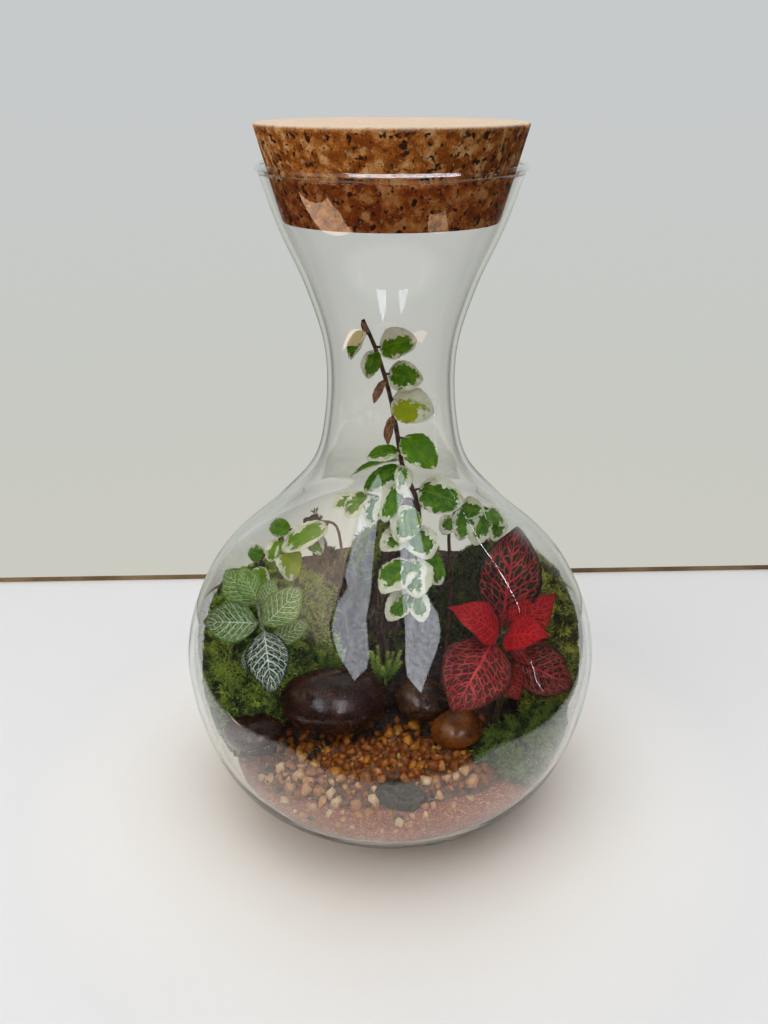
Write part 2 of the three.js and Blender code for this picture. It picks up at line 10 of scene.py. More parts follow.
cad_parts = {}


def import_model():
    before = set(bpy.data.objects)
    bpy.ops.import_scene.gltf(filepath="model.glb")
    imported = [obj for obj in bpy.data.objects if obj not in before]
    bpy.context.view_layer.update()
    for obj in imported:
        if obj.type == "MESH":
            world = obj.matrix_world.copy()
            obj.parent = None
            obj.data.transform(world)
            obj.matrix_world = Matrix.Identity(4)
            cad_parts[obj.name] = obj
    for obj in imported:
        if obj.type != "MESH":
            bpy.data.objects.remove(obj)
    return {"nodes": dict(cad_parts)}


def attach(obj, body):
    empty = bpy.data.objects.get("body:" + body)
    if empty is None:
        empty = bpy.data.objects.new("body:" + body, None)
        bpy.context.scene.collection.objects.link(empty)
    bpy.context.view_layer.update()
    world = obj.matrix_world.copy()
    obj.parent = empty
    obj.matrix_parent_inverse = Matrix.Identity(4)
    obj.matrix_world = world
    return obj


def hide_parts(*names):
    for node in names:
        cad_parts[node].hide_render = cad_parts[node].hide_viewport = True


# Glass plant terrarium. Every plan below is in millimetres; a mesh is turned into metres as it is made.
mm = 0.001
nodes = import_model()["nodes"]
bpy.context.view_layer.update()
scene = bpy.context.scene
scene.view_settings.view_transform = "Standard"


# Colours and shader nodes

def linear(hexColour):
    channels = [int(hexColour[i:i + 2], 16) / 255 for i in (1, 3, 5)]
    return tuple(c / 12.92 if c <= 0.04045 else ((c + 0.055) / 1.055) ** 2.4 for c in channels) + (1.0,)


# The usual nodes: type, the sockets that values go to in order, output, settings. The scale of a noise or a
# cell pattern is 1000 / its size in millimetres.
usual = {
    "place": ("ShaderNodeTexCoord", (), "Object", {}),
    "stretch": ("ShaderNodeMapping", ("Vector", "Scale"), 0, {}),
    "ownUv": ("ShaderNodeUVMap", (), 0, {"uv_map": "UVMap"}),
    "axes": ("ShaderNodeSeparateXYZ", (0,), 0, {}),
    "joined": ("ShaderNodeCombineXYZ", (0, 1, 2), 0, {}),
    "attribute": ("ShaderNodeAttribute", (), "Fac", {}),
    "noise": ("ShaderNodeTexNoise", ("Vector", "Scale", "Detail"), "Fac", {}),
    "cells": ("ShaderNodeTexVoronoi", ("Vector", "Scale"), "Distance", {}),
    "range": ("ShaderNodeMapRange", (0, 1, 2, 3, 4), 0, {"interpolation_type": "SMOOTHSTEP"}),
    "ramp": ("ShaderNodeValToRGB", (0,), 0, {}),
    "mix": ("ShaderNodeMix", (0, 6, 7), 2, {"data_type": "RGBA"}),
    "bump": ("ShaderNodeBump", ("Height", "Distance", "Strength"), 0, {}),
    "shaders": ("ShaderNodeMixShader", (0, 1, 2), 0, {}),
    "random": ("FunctionNodeRandomValue", (2, 3, "Seed"), 1, {"data_type": "FLOAT"}),
}
for operation in ("ADD", "SUBTRACT", "MULTIPLY", "MULTIPLY_ADD", "DIVIDE", "POWER", "MINIMUM", "MAXIMUM",
                  "ABSOLUTE", "FRACT", "PINGPONG"):
    usual[operation] = ("ShaderNodeMath", (0, 1, 2), 0, {"operation": operation})


def addNode(tree, kind, *values, out=None, stops=(), **settings):
    typeName, sockets, usualOut, fixed = usual.get(kind, (kind, (), 0, {}))
    node = tree.nodes.new(typeName)
    for key, value in {**fixed, **settings}.items():
        setattr(node, key, value)
    named = values[0] if values and isinstance(values[0], dict) else dict(zip(sockets, values))
    for key, value in named.items():
        if isinstance(value, bpy.types.NodeSocket):
            tree.links.new(value, node.inputs[key])
        else:
            node.inputs[key].default_value = linear(value) if str(value).startswith("#") else value
    for i, (spot, colour) in enumerate(stops):
        elements = node.color_ramp.elements
        if i >= len(elements):
            elements.new(spot)
        elements[i].position, elements[i].color = spot, linear(colour)
    return node.outputs[usualOut if out is None else out]


def newMaterial(name, values=None):
    # without values the usual shader is taken out, for a material that has its own
    material = bpy.data.materials.new(name)
    material.use_nodes = True
    tree = material.node_tree
    shader = tree.nodes["Principled BSDF"]
    for key, value in (values or {}).items():
        shader.inputs[key].default_value = value
    if not values:
        tree.nodes.remove(shader)
    return material, partial(addNode, tree)


def finish(material, links, last="Principled BSDF"):
    tree = material.node_tree
    for key, socket in links.items():
        tree.links.new(socket, tree.nodes[last].inputs[key])
    return material


# Meshes: a part is a dictionary of points, faces, uv, tone and material index

def gridFaces(rows, columns, start=0, flip=False, wrap=False):
    faces = []
    for r in range(rows - 1):
        for c in range(columns if wrap else columns - 1):
            n = (c + 1) % columns
            quad = (start + r * columns + c, start + r * columns + n,
                    start + (r + 1) * columns + n, start + (r + 1) * columns + c)
            faces.append(quad[::-1] if flip else quad)
    return faces


def meshObject(name, parts, materials, smooth=True):
    points, faces, uv, tone, cream, index = [], [], [], [], [], []
    start = 0
    for part in parts:
        count = len(part["points"])
        points.append(np.asarray(part["points"], float))
        faces += [tuple(start + i for i in face) for face in part["faces"]]
        index += [part.get("material", 0)] * len(part["faces"])
        uv.append(part.get("uv", np.zeros((count, 2))))
        tone.append(np.full(count, part.get("tone", 0.5)))
        cream.append(np.full(count, part.get("cream", 0.5)))
        start += count
    mesh = bpy.data.meshes.new(name)
    mesh.from_pydata((np.concatenate(points) * mm).tolist(), [], faces)
    for material in materials:
        mesh.materials.append(material)
    mesh.polygons.foreach_set("material_index", index)
    mesh.polygons.foreach_set("use_smooth", [smooth] * len(faces))
    corners = np.empty(len(mesh.loops), int)
    mesh.loops.foreach_get("vertex_index", corners)
    mesh.uv_layers.new(name="UVMap").data.foreach_set("uv", np.concatenate(uv)[corners].ravel())
    for label, values in (("tone", tone), ("cream", cream)):
        mesh.attributes.new(label, "FLOAT", "POINT").data.foreach_set("value", np.concatenate(values))
    piece = bpy.data.objects.new(name, mesh)
    scene.collection.objects.link(piece)
    return piece


def place(piece, slot, *cadNodes):
    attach(piece, "root")
    if cadNodes:
        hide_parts(*cadNodes)
    print(piece.name, len(piece.data.polygons))


def evaluated(piece):
    graph = bpy.context.evaluated_depsgraph_get()
    shown = piece.evaluated_get(graph)
    return bpy.data.meshes.new_from_object(shown, preserve_all_data_layers=True, depsgraph=graph)


# Round bodies about the flask's axis

def lathePart(profile, turns):
    angles = np.arange(turns) * 2 * math.pi / turns
    points, faces, rings = [], [], []
    for r, z in profile:
        if r < 1e-6:
            rings.append([len(points)])
            points.append((0, 0, z))
        else:
            rings.append(list(range(len(points), len(points) + turns)))
            points += [(r * math.cos(a), r * math.sin(a), z) for a in angles]
    for low, high in zip(rings, rings[1:]):
        for j in range(turns):
            n = (j + 1) % turns
            if len(low) == 1:
                faces.append((low[0], high[n], high[j]))
            elif len(high) == 1:
                faces.append((low[j], low[n], high[0]))
            else:
                faces.append((low[j], low[n], high[n], high[j]))
    return {"points": points, "faces": faces}


def cubic(start, end, leaving, arriving, t):
    bend = 3 * (end - start) - 2 * leaving - arriving
    return start + leaving * t + bend * t ** 2 + (2 * (start - end) + leaving + arriving) * t ** 3


def smoothCurve(points, perSpan):
    # uniform Catmull-Rom through the points, as the flask's wall is drawn
    points = np.asarray(points, float)
    padded = np.vstack([points[:1], points, points[-1:]])
    curve = []
    for i in range(len(points) - 1):
        before, start, end, after = padded[i:i + 4]
        leaving, arriving = (end - before) / 2, (after - start) / 2
        curve += [cubic(start, end, leaving, arriving, t) for t in np.arange(perSpan) / perSpan]
    return np.array(curve + [points[-1]])


flask = {
    "wall": [(45, 0), (77.5, 22), (90, 70), (78, 109), (50.5, 137), (32.5, 158),
             (26.5, 180), (26, 206), (32.5, 230), (42, 252), (49, 272.4)], "perSpan": 10,
    "thickness": 2, "heel": 0.8, "heelHeight": 34, "floor": 5, "floorRadius": 46, "floorCorner": 1.2,
    "foot": [(0, 1.6), (20, 1.12), (34, 0.3), (39, 0), (43, 0), (45.4, 0.35)],
    "lipRadius": 49.3, "lipHeight": 273.2, "bead": 0.75, "flat": 1.3, "slope": 41, "turns": 160,
}


def offsetInward(wall):
    steps = np.gradient(wall, axis=0)
    inward = np.stack([-steps[:, 1], steps[:, 0]], 1) / np.linalg.norm(steps, axis=1)[:, None]
    heel = flask["heel"] * np.clip(1 - wall[:, 1:] / flask["heelHeight"], 0, 1)
    inside = wall + inward * (flask["thickness"] + heel)
    inside = inside[inside[:, 1] > flask["floor"] + flask["floorCorner"]]
    return inside[np.argsort(inside[:, 1])]


outerWall = smoothCurve(flask["wall"], flask["perSpan"])
innerWall = offsetInward(outerWall)


def cavityRadius(z):
    return np.interp(z, innerWall[:, 1], innerWall[:, 0])


def makeFlask():
    # a fire-polished lip: a round bead whose upper outside is nearly flat
    slope, bead, bottom = flask["slope"], flask["bead"], flask["floor"]
    turn = np.concatenate([np.arange(-50, slope - 4, 10), slope + np.array((-3, -1, 1, 3)),
                           np.arange(slope + 12, 236, 14)])
    flat = flask["flat"] * np.clip((turn - slope + 2) / 4, 0, 1)
    across, up = math.sin(math.radians(slope)), math.cos(math.radians(slope))
    radius, height = flask["lipRadius"], flask["lipHeight"]
    lip = [(radius + bead * math.cos(a) - s * across, height + bead * math.sin(a) + s * up)
           for a, s in zip(np.radians(turn), flat)]
    inside = innerWall[::-1].tolist() + [(flask["floorRadius"], bottom + 0.15), (30, bottom), (0, bottom)]
    profile = flask["foot"] + outerWall[1:].tolist() + lip + inside
    piece = meshObject("flask_body", [lathePart(profile, flask["turns"])], [glassMaterial()])
    place(piece, "glass", "glass_flask")


glass = {
    "stretch": (1, 1, 0.4), "ripple": 8, "rippleShare": 0.06, "swell": 26, "rise": 0.5, "wobble": 0.2,
    "ior": 1.46, "middle": (1, 1, 0.995, 1), "edge": (0.66, 1.0), "shadow": (0.985, 0.982, 0.968, 1),
    # colour of the outline by height, as a share of the lip's
    "depth": [(0.0, "#fffcf6"), (0.1, "#fffcf6"), (0.2, "#e7ebe4"), (0.5, "#e7ebe4"), (0.62, "#b0bab0"),
              (0.84, "#b0bab0"), (0.95, "#e7ebe4"), (0.985, "#fcfdfc")],
    "bead": (0.93, 0.945, 0.93, 1), "beadUnder": (1.6, 0.6), "headOn": 0.035,
}


# Clear soda glass, mouth blown and fire polished: slow waves in the wall wobble its reflections, and the
# long way through it at the outline shows its grey-green. The lip's small bead would swallow the light, so
# there the glass is drawn as a thin clear skin.
def glassMaterial():
    material, add = newMaterial("clear_blown_glass")
    coords = add("stretch", add("place"), glass["stretch"])
    ripple, swell = (add("noise", coords, 1000 / glass[size], 1.0) for size in ("ripple", "swell"))
    waves = add("MULTIPLY_ADD", ripple, glass["rippleShare"], swell)
    normal = add("bump", waves, glass["rise"] * mm, glass["wobble"])
    grazing = add("ShaderNodeLayerWeight", {"Blend": 0.5}, out=1)
    height = add("axes", add("place"), out=2)
    depth = add("ramp", add("DIVIDE", height, flask["lipHeight"] * mm), stops=glass["depth"])
    tint = add("mix", add("range", grazing, *glass["edge"]), glass["middle"], depth)
    wall = add("ShaderNodeBsdfGlass",
               {"Color": tint, "Roughness": 0.0, "IOR": glass["ior"], "Normal": normal})
    mirror = add("ShaderNodeBsdfGlossy", {"Color": (1, 1, 1, 1), "Roughness": 0.0, "Normal": normal})
    clear, thin = (add("ShaderNodeBsdfTransparent", {"Color": glass[tone]}) for tone in ("shadow", "bead"))
    mirrored = add("MULTIPLY_ADD", add("POWER", grazing, 5.0), 1 - glass["headOn"], glass["headOn"])
    bead = add("range", height, *((flask["lipHeight"] - under) * mm for under in glass["beadUnder"]))
    wall = add("shaders", bead, wall, add("shaders", mirrored, thin, mirror))
    shadow = add("ShaderNodeLightPath", out="Is Shadow Ray")
    return finish(material, {"Surface": add("shaders", shadow, wall, clear)}, "Material Output")


cork = {
    "bottom": 255.6, "top": 288.4, "radiusBottom": 40.9, "radiusTop": 49.4, "bevel": 0.9, "turns": 128,
    "rings": 26, "chip": (46.5, -16.5, 287.6), "chipSize": 3.4, "chipDepth": 1.6,
    "crumbsPerMetre": 900, "crumbDepth": 0.06, "warp": 1.6, "granule": 2.6, "grain": 0.7,
    "tones": [(0.25, "#9a4e12"), (0.42, "#c06c22"), (0.6, "#e0954a"), (0.85, "#f6c68c")],
    "flecks": (1.7, 3.2), "fleckGroups": 7, "bark": [(0.35, "#241006"), (0.7, "#5f2f10")],
    "lightSize": 2.1, "light": "#edc088", "neckShade": "#d6bfa6", "worn": ("#dba267", "#dbc8b2"),
}


def makeCork():
    low, high, bevel = cork["bottom"], cork["top"], cork["bevel"]
    ends = [(cork["radiusBottom"], low + bevel), (cork["radiusTop"], high - bevel)]
    start, end = np.array(ends)
    side = [tuple(start * (1 - t) + end * t) for t in np.linspace(0, 1, cork["rings"])]
    corner = np.radians(np.arange(18, 90, 18))
    inner, outer = ends[0][0] - bevel, ends[1][0] - bevel
    bottom = [(inner + bevel * math.sin(a), low + bevel - bevel * math.cos(a)) for a in corner]
    top = [(outer + bevel * math.cos(a), high - bevel + bevel * math.sin(a)) for a in corner]
    profile = [(r, low) for r in (0, 14, 28, inner)] + bottom + side + top
    profile += [(r, high) for r in (outer, 46, 42, 36, 28, 18, 9, 0)]
    piece = meshObject("cork_body", [lathePart(profile, cork["turns"])], [corkMaterial()])
    chip = Vector(cork["chip"]) * mm
    for vertex in piece.data.vertices:
        away = (vertex.co - chip).length / (cork["chipSize"] * mm)
        crumb = noise.noise(vertex.co * cork["crumbsPerMetre"]) * cork["crumbDepth"] * mm
        pull = max(0.0, 1 - away) ** 0.7 * cork["chipDepth"] * mm
        outward = vertex.co.normalized()
        vertex.co -= Vector((outward.x, outward.y, 0.6)) * (pull + max(0.0, crumb))
    place(piece, "cork", "cork_stopper")


# Agglomerated cork, pressed granules in a binder and sanded: soft-edged granules 2 to 3 mm across, dark bark
# flecks of 1 to 2 mm with pits at them, and a paler top, partly rubbed wear and partly painted highlight for
# the light falling on it. Below the glass's rim the cork is painted darker, as shade.
def corkMaterial():
    material, add = newMaterial("pressed_granule_cork", {"Roughness": 0.85, "Specular IOR Level": 0.15})
    coords = add("place")
    warp = add("noise", coords, 1000 / cork["warp"], 2, out="Color")
    coords = add("ShaderNodeMix", {0: 0.001, 4: coords, 5: warp}, out=1, data_type="VECTOR")
    granule = add("cells", coords, 1000 / cork["granule"], out="Color", feature="SMOOTH_F1")
    granule = add("MULTIPLY_ADD", add("ShaderNodeSeparateColor", {0: granule}), 0.75, -0.27)
    grain = add("noise", coords, 1000 / cork["grain"], 4)
    colour = add("ramp", add("MULTIPLY_ADD", grain, 0.8, granule), stops=cork["tones"])
    speck = add("MINIMUM", *(add("noise", coords, 1000 / size, 3) for size in cork["flecks"]))
    few = add("range", add("noise", coords, 1000 / cork["fleckGroups"], 2), 0.36, 0.62, 0.02, -0.04)
    fleck = add("range", add("ADD", speck, few), 0.4, 0.345)
    colour = add("mix", fleck, colour, add("ramp", grain, stops=cork["bark"]))
    light = add("range", add("noise", coords, 1000 / cork["lightSize"], 3), 0.6, 0.67, 0.0, 0.6)
    colour = add("mix", light, colour, cork["light"])
    height = add("axes", add("place"), out=2)
    ring, top = flask["lipHeight"], cork["top"]
    # painted shade: below the glass's rim the cork is darkened, as it lies in the neck's shade
    neckShade = add("range", height, (ring + 0.5) * mm, (ring - 3) * mm)
    colour = add("mix", neckShade, colour, cork["neckShade"], blend_type="MULTIPLY")
    # paler top and top edge: partly sanding wear, partly painted highlight for the light falling on the top
    worn = add("mix", add("range", height, (top - 1.2) * mm, (top - 0.1) * mm), *cork["worn"])
    rubbed = add("MULTIPLY_ADD", grain, 0.003, height)
    rubbed = add("range", rubbed, (top - 0.6) * mm, (top + 1.6) * mm, 0.0, 0.92)
    colour = add("mix", rubbed, colour, worn)
    relief = add("SUBTRACT", grain, add("MULTIPLY", fleck, 0.7))
    normal = add("bump", relief, 0.6 * mm, add("MULTIPLY_ADD", rubbed, -0.6, 0.7))
    return finish(material, {"Base Color": colour, "Normal": normal})


# Layers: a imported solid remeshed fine, rounded, and carried out to the smooth glass

def refined(name, node, voxel, relax, materials):
    mesh = nodes[node].data.copy()
    mesh.materials.clear()
    work = bmesh.new()
    work.from_mesh(mesh)
    bmesh.ops.remove_doubles(work, verts=work.verts, dist=1e-6)
    work.to_mesh(mesh)
    work.free()
    piece = bpy.data.objects.new(name, mesh)
    scene.collection.objects.link(piece)
    remesh = piece.modifiers.new("remesh", "REMESH")
    remesh.mode, remesh.voxel_size = "VOXEL", voxel * mm
    rounding = piece.modifiers.new("rounding", "SMOOTH")
    rounding.factor, rounding.iterations = 0.5, relax
    made = evaluated(piece)
    piece.modifiers.clear()
    piece.data = made
    made.polygons.foreach_set("use_smooth", [True] * len(made.polygons))
    for material in materials:
        made.materials.append(material)
    return piece


def pointsOf(mesh, kind="co"):
    values = np.empty(len(mesh.vertices) * 3, np.float32)
    source = mesh.vertices if kind == "co" else mesh.vertex_normals
    source.foreach_get(kind if kind == "co" else "vector", values)
    return values.reshape(-1, 3).astype(float)


def fieldNoise(points, size, octaves):
    return np.array([noise.fractal(Vector(p) / (size * mm), 0.7, 2.0, octaves) for p in points])


def roughen(piece, size, rise, octaves, upOnly=False):
    mesh = piece.data
    points, normals = pointsOf(mesh), pointsOf(mesh, "normal")
    lift = fieldNoise(points, size, octaves)[:, None] * rise * mm
    points += (np.array([[0, 0, 1.0]]) * np.clip(normals[:, 2:], 0, 1) if upOnly else normals) * lift
    mesh.vertices.foreach_set("co", points.ravel())
    mesh.update()


# how a layer meets the glass: its gap, how far in its rim is drawn from and over what width, and the strip
# that nothing grows on
wallFit = {"gap": 0.3, "reach": 4.1, "ease": 1.5, "bare": 1.6}


def fromAxis(points):
    return np.hypot(points[:, 0], points[:, 1])


def setRadius(piece, points, radius):
    points[:, :2] *= (radius / np.maximum(fromAxis(points), 1e-6))[:, None]
    piece.data.vertices.foreach_set("co", (points * mm).ravel())
    piece.data.update()


def toGlass(piece):
    # the faceted solid stops short of the smooth wall, so its rim is drawn out to it
    points = pointsOf(piece.data) / mm
    radius, wall = fromAxis(points), cavityRadius(points[:, 2]) - wallFit["gap"]
    near = np.clip((radius - wall + wallFit["reach"]) / wallFit["ease"], 0, 1)
    setRadius(piece, points, np.minimum(radius + (wall - radius) * near, wall))


def keepInside(piece):
    # what would pass through the wall lies flat against it
    points = pointsOf(piece.data) / mm
    setRadius(piece, points, np.minimum(fromAxis(points), cavityRadius(points[:, 2]) - wallFit["gap"]))
    return piece


def setGrow(piece, rule, steep=0.12):
    # how thickly a surface is scattered, from 0 to 1 at each point
    mesh = piece.data
    points, normals = pointsOf(mesh) / mm, pointsOf(mesh, "normal")
    free = (normals[:, 2] > steep) & (fromAxis(points) < cavityRadius(points[:, 2]) - wallFit["bare"])
    layer = mesh.attributes.get("grow") or mesh.attributes.new("grow", "FLOAT", "POINT")
    layer.data.foreach_set("value", free.astype(float) * rule(points, normals))


def scatter(name, surface, shapes, plan, material):
    # Geometry Nodes: points on the surface where it may grow, shapes set on them, then made real
    tree = bpy.data.node_groups.new(name, "GeometryNodeTree")
    for label, way in (("Surface", "INPUT"), ("Geometry", "OUTPUT")):
        tree.interface.new_socket(label, in_out=way, socket_type="NodeSocketGeometry")
    sizes = {"Per square metre": float(plan["dense"]), "Apart": plan["apart"] * mm,
             "Smallest": plan["size"][0], "Largest": plan["size"][1]}
    sockets = {label: tree.interface.new_socket(label, in_out="INPUT", socket_type="NodeSocketFloat")
               for label in sizes}
    kinds = bpy.data.collections.new(name + "_shapes")
    scene.collection.children.link(kinds)
    for shape in shapes:
        kinds.objects.link(shape)

    add = partial(addNode, tree)
    start = tree.nodes.new("NodeGroupInput").outputs
    grow = add("GeometryNodeInputNamedAttribute", {"Name": "grow"}, data_type="FLOAT")
    spots = add("GeometryNodeDistributePointsOnFaces",
                {"Mesh": start["Surface"], "Density Max": start["Per square metre"], "Density Factor": grow,
                 "Distance Min": start["Apart"], "Seed": plan["seed"]}, distribute_method="POISSON")
    spots = spots.node.outputs
    pick = add("GeometryNodeCollectionInfo", {"Collection": kinds, "Separate Children": True,
                                              "Reset Children": True})
    upright = add("ShaderNodeMix", {0: plan["lean"], 4: (0, 0, 1), 5: spots["Normal"]}, out=1,
                  data_type="VECTOR")
    facing = add("FunctionNodeAlignRotationToVector", {"Vector": upright}, axis="Z")
    tumble = plan["tumble"]
    turn = add("FunctionNodeRandomValue", {0: (-tumble, -tumble, 0), 1: (tumble, tumble, 2 * math.pi),
                                           "Seed": plan["seed"] + 1}, data_type="FLOAT_VECTOR")
    turn = add("FunctionNodeEulerToRotation", {"Euler": turn})
    turned = add("FunctionNodeRotateRotation", {"Rotation": facing, "Rotate By": turn},
                 rotation_space="LOCAL")
    size = add("random", start["Smallest"], start["Largest"], plan["seed"] + 2)
    placed = add("GeometryNodeInstanceOnPoints", {"Points": spots["Points"], "Instance": pick,
                                                  "Pick Instance": True, "Rotation": turned, "Scale": size})
    tone = add("random", 0.0, 1.0, plan["seed"] + 3)
    toned = add("GeometryNodeStoreNamedAttribute", {"Geometry": placed, "Name": "tone", "Value": tone},
                data_type="FLOAT", domain="INSTANCE")
    real = add("GeometryNodeRealizeInstances", {"Geometry": toned})
    done = add("GeometryNodeSetMaterial", {"Geometry": real, "Material": material})
    tree.links.new(done, tree.nodes.new("NodeGroupOutput").inputs[0])

    carrier = bpy.data.objects.new(name + "_carrier", surface.data)
    scene.collection.objects.link(carrier)
    modifier = carrier.modifiers.new("scatter", "NODES")
    modifier.node_group = tree
    for label, value in sizes.items():
        modifier[sockets[label].identifier] = value
    made = evaluated(carrier)
    for used in (carrier, *shapes):
        bpy.data.objects.remove(used)
    bpy.data.collections.remove(kinds)
    made.name = name
    made.polygons.foreach_set("use_smooth", [plan.get("smooth", False)] * len(made.polygons))
    piece = bpy.data.objects.new(name, made)
    scene.collection.objects.link(piece)
    return piece


def pebbleShape(name, seed, size, flat):
    # an angular crumb: the hull of a few points near a squashed ball
    roll = random.Random(seed)
    work = bmesh.new()
    for _ in range(13):
        p = Vector((roll.gauss(0, 1), roll.gauss(0, 1), roll.gauss(0, 1))).normalized()
        p *= roll.uniform(0.82, 1.08) * size * mm
        work.verts.new((p.x, p.y * 0.85, p.z * flat))
    bmesh.ops.convex_hull(work, input=work.verts)
    bmesh.ops.delete(work, geom=[v for v in work.verts if not v.link_faces], context="VERTS")
    bmesh.ops.recalc_face_normals(work, faces=work.faces)
    mesh = bpy.data.meshes.new(name)
    work.to_mesh(mesh)
    work.free()
    return bpy.data.objects.new(name, mesh)


def tuftShape(name, seed, blades, tall, wide, spread):
    # a moss shoot: slim three-sided spikes bent outward, with their height kept for the colour
    roll = random.Random(seed)
    points, faces, tip = [], [], []
    for i in range(blades):
        a = i * 2.4 + roll.uniform(-0.3, 0.3)
        lean = spread * roll.uniform(0.3, 1.0)
        low = Vector((math.cos(a), math.sin(a), 0)) * 0.12 * tall
        high = Vector((math.cos(a) * math.sin(lean), math.sin(a) * math.sin(lean), math.cos(lean)))
        high = low + high * tall * roll.uniform(0.7, 1.0)
        across = Vector((-math.sin(a), math.cos(a), 0)) * wide / 2
        middle = (low + high) / 2 + Vector((0, 0, 0.08 * tall))
        first = len(points)
        points += [low, middle + across, middle - across, high, middle + Vector((0, 0, 0.14 * wide)) * 2]
        tip += [0.0, 0.55, 0.55, 1.0, 0.6]
        faces += [(0, 1, 4), (0, 4, 2), (1, 3, 4), (4, 3, 2), (0, 2, 1), (1, 2, 3)]
        faces[-6:] = [tuple(first + k for k in face) for face in faces[-6:]]
    mesh = bpy.data.meshes.new(name)
    mesh.from_pydata([tuple(p * mm) for p in points], [], faces)
    mesh.attributes.new("tip", "FLOAT", "POINT").data.foreach_set("value", tip)
    return bpy.data.objects.new(name, mesh)


# Stones

# place of the middle, half sizes, turn about the upright and lean in degrees
stones = {
    "stone_large": {"at": (-25, -12, 45), "half": (24, 17.5, 14.5), "turn": 8, "lean": 4, "look": "dark"},
    "stone_flat": {"at": (-61.5, -25, 38), "half": (14.5, 10.5, 6.2), "turn": -12, "lean": -5,
                   "look": "dark"},
    "stone_mid": {"at": (16, -4, 40), "half": (15, 11, 9), "turn": -10, "lean": 6, "look": "brown"},
    "stone_amber": {"at": (30, -23, 38), "half": (11.5, 10, 8.5), "turn": 20, "lean": -8, "look": "amber"},
}
# dark, light and speckle colours, roughness
stoneLooks = {
    "dark": ("#1e0d07", "#3a1c12", "#4a2a1e", 0.24),
    "brown": ("#26140c", "#4c301e", "#604530", 0.26),
    "amber": ("#482104", "#7c430b", "#98601e", 0.28),
}


def turnedPoints(points, lean, turn, at):
    a, b = math.radians(lean), math.radians(turn)
    x, y, z = points.T
    x, z = x * math.cos(a) + z * math.sin(a), z * math.cos(a) - x * math.sin(a)
    x, y = x * math.cos(b) - y * math.sin(b), x * math.sin(b) + y * math.cos(b)
    return np.stack([x, y, z], 1) + np.array(at)


def inStone(points, grow=1.0):
    hit = np.zeros(len(points), bool)
    for plan in stones.values():
        b = math.radians(plan["turn"])
        d = points - np.array(plan["at"])
        x, y = d[:, 0] * math.cos(b) + d[:, 1] * math.sin(b), d[:, 1] * math.cos(b) - d[:, 0] * math.sin(b)
        half = np.array(plan["half"]) + grow
        hit |= (x / half[0]) ** 2 + (y / half[1]) ** 2 + (d[:, 2] / half[2]) ** 2 < 1
    return hit


# Tumbled river stone, polished: fine speckle and slow clouds under a wet-looking shine.
def stoneMaterial(name, dark, light, speckle, rough):
    material, add = newMaterial(name, {"Roughness": rough, "Specular IOR Level": 0.5,
                                       "Coat Weight": 0.2, "Coat Roughness": 0.16})
    coords = add("place")
    clouds = add("range", add("noise", coords, 1000 / 9, 5), 0.35, 0.68)
    dots = add("range", add("noise", coords, 1000 / 0.9, 3), 0.6, 0.74, 0.0, 0.4)
    colour = add("mix", dots, add("mix", clouds, dark, light), speckle)
    pits = add("noise", coords, 1000 / 1.4, 4)
    return finish(material, {"Base Color": colour, "Normal": add("bump", pits, 0.1 * mm, 0.12),
                             "Roughness": add("range", pits, 0.3, 0.7, rough * 0.85, rough * 1.2)})


def stoneForm(ball, half):
    # a worn pebble: slow swells round it and shallow dents
    swell = 1 + 0.035 * np.sin(3 * ball[:, 0] + half[0]) + 0.03 * np.cos(4 * ball[:, 1] + half[1])
    dents = np.array([noise.noise(Vector(p) * 1.7 + Vector((half[0], 0, 0))) for p in ball])
    return ball * (swell + 0.018 * dents)[:, None] * np.array(half)


def makeStones():
    looks = {kind: stoneMaterial(f"polished_{kind}_stone", *tones) for kind, tones in stoneLooks.items()}
    work = bmesh.new()
    bmesh.ops.create_icosphere(work, subdivisions=5, radius=1)
    ball = np.array([v.co[:] for v in work.verts])
    faces = [tuple(v.index for v in f.verts) for f in work.faces]
    work.free()
    for name, plan in stones.items():
        points = turnedPoints(stoneForm(ball, plan["half"]), plan["lean"], plan["turn"], plan["at"])
        piece = meshObject(name + "_body", [{"points": points, "faces": faces}], [looks[plan["look"]]])
        place(piece, "stone_" + plan["look"], name)


# Split slate: dark cleft faces with thin parallel layers on the edges.
def slateMaterial():
    material, add = newMaterial("split_slate", {"Roughness": 0.65, "Specular IOR Level": 0.25})
    coords = add("stretch", add("place"), (1, 1, 3.5))
    tint = add("noise", coords, 1000 / 4, 5)
    colour = add("ramp", tint, stops=[(0.3, "#221a0f"), (0.55, "#43361f"), (0.8, "#735d3c")])
    clefts = add("noise", coords, 1000 / 1.2, 5)
    return finish(material, {"Base Color": colour, "Normal": add("bump", clefts, 0.6 * mm, 0.9)})


slate = {"voxel": 0.35, "relax": 1, "rough": (4.5, 0.8, 4)}


def makeSlate():
    piece = refined("slate_body", "slate_chip", slate["voxel"], slate["relax"], [slateMaterial()])
    roughen(piece, *slate["rough"])
    place(piece, "slate", "slate_chip")


# Ground

# Dyed quartz sand: fine grains in pinks and reds, with a few pale ones. Real grains are finer; these are
# drawn 0.6 mm across so that they show.
def sandMaterial():
    material, add = newMaterial("pink_quartz_sand", {"Roughness": 0.85, "Specular IOR Level": 0.3})
    coords = add("place")
    shade = add("ShaderNodeSeparateColor", {0: add("cells", coords, 1000 / 0.6, out="Color")})
    colour = add("ramp", shade, stops=[(0.0, "#7b3a22"), (0.3, "#975138"), (0.65, "#ae694b"),
                                       (0.9, "#c58665"), (1.0, "#e2b594")])
    patch = add("range", add("noise", coords, 1000 / 14, 3), 0.4, 0.7, 0.0, 0.45)
    height = add("cells", coords, 1000 / 0.6)
    return finish(material, {"Base Color": add("mix", patch, colour, "#7f3826"),
                             "Normal": add("bump", height, 0.3 * mm, 0.6)})
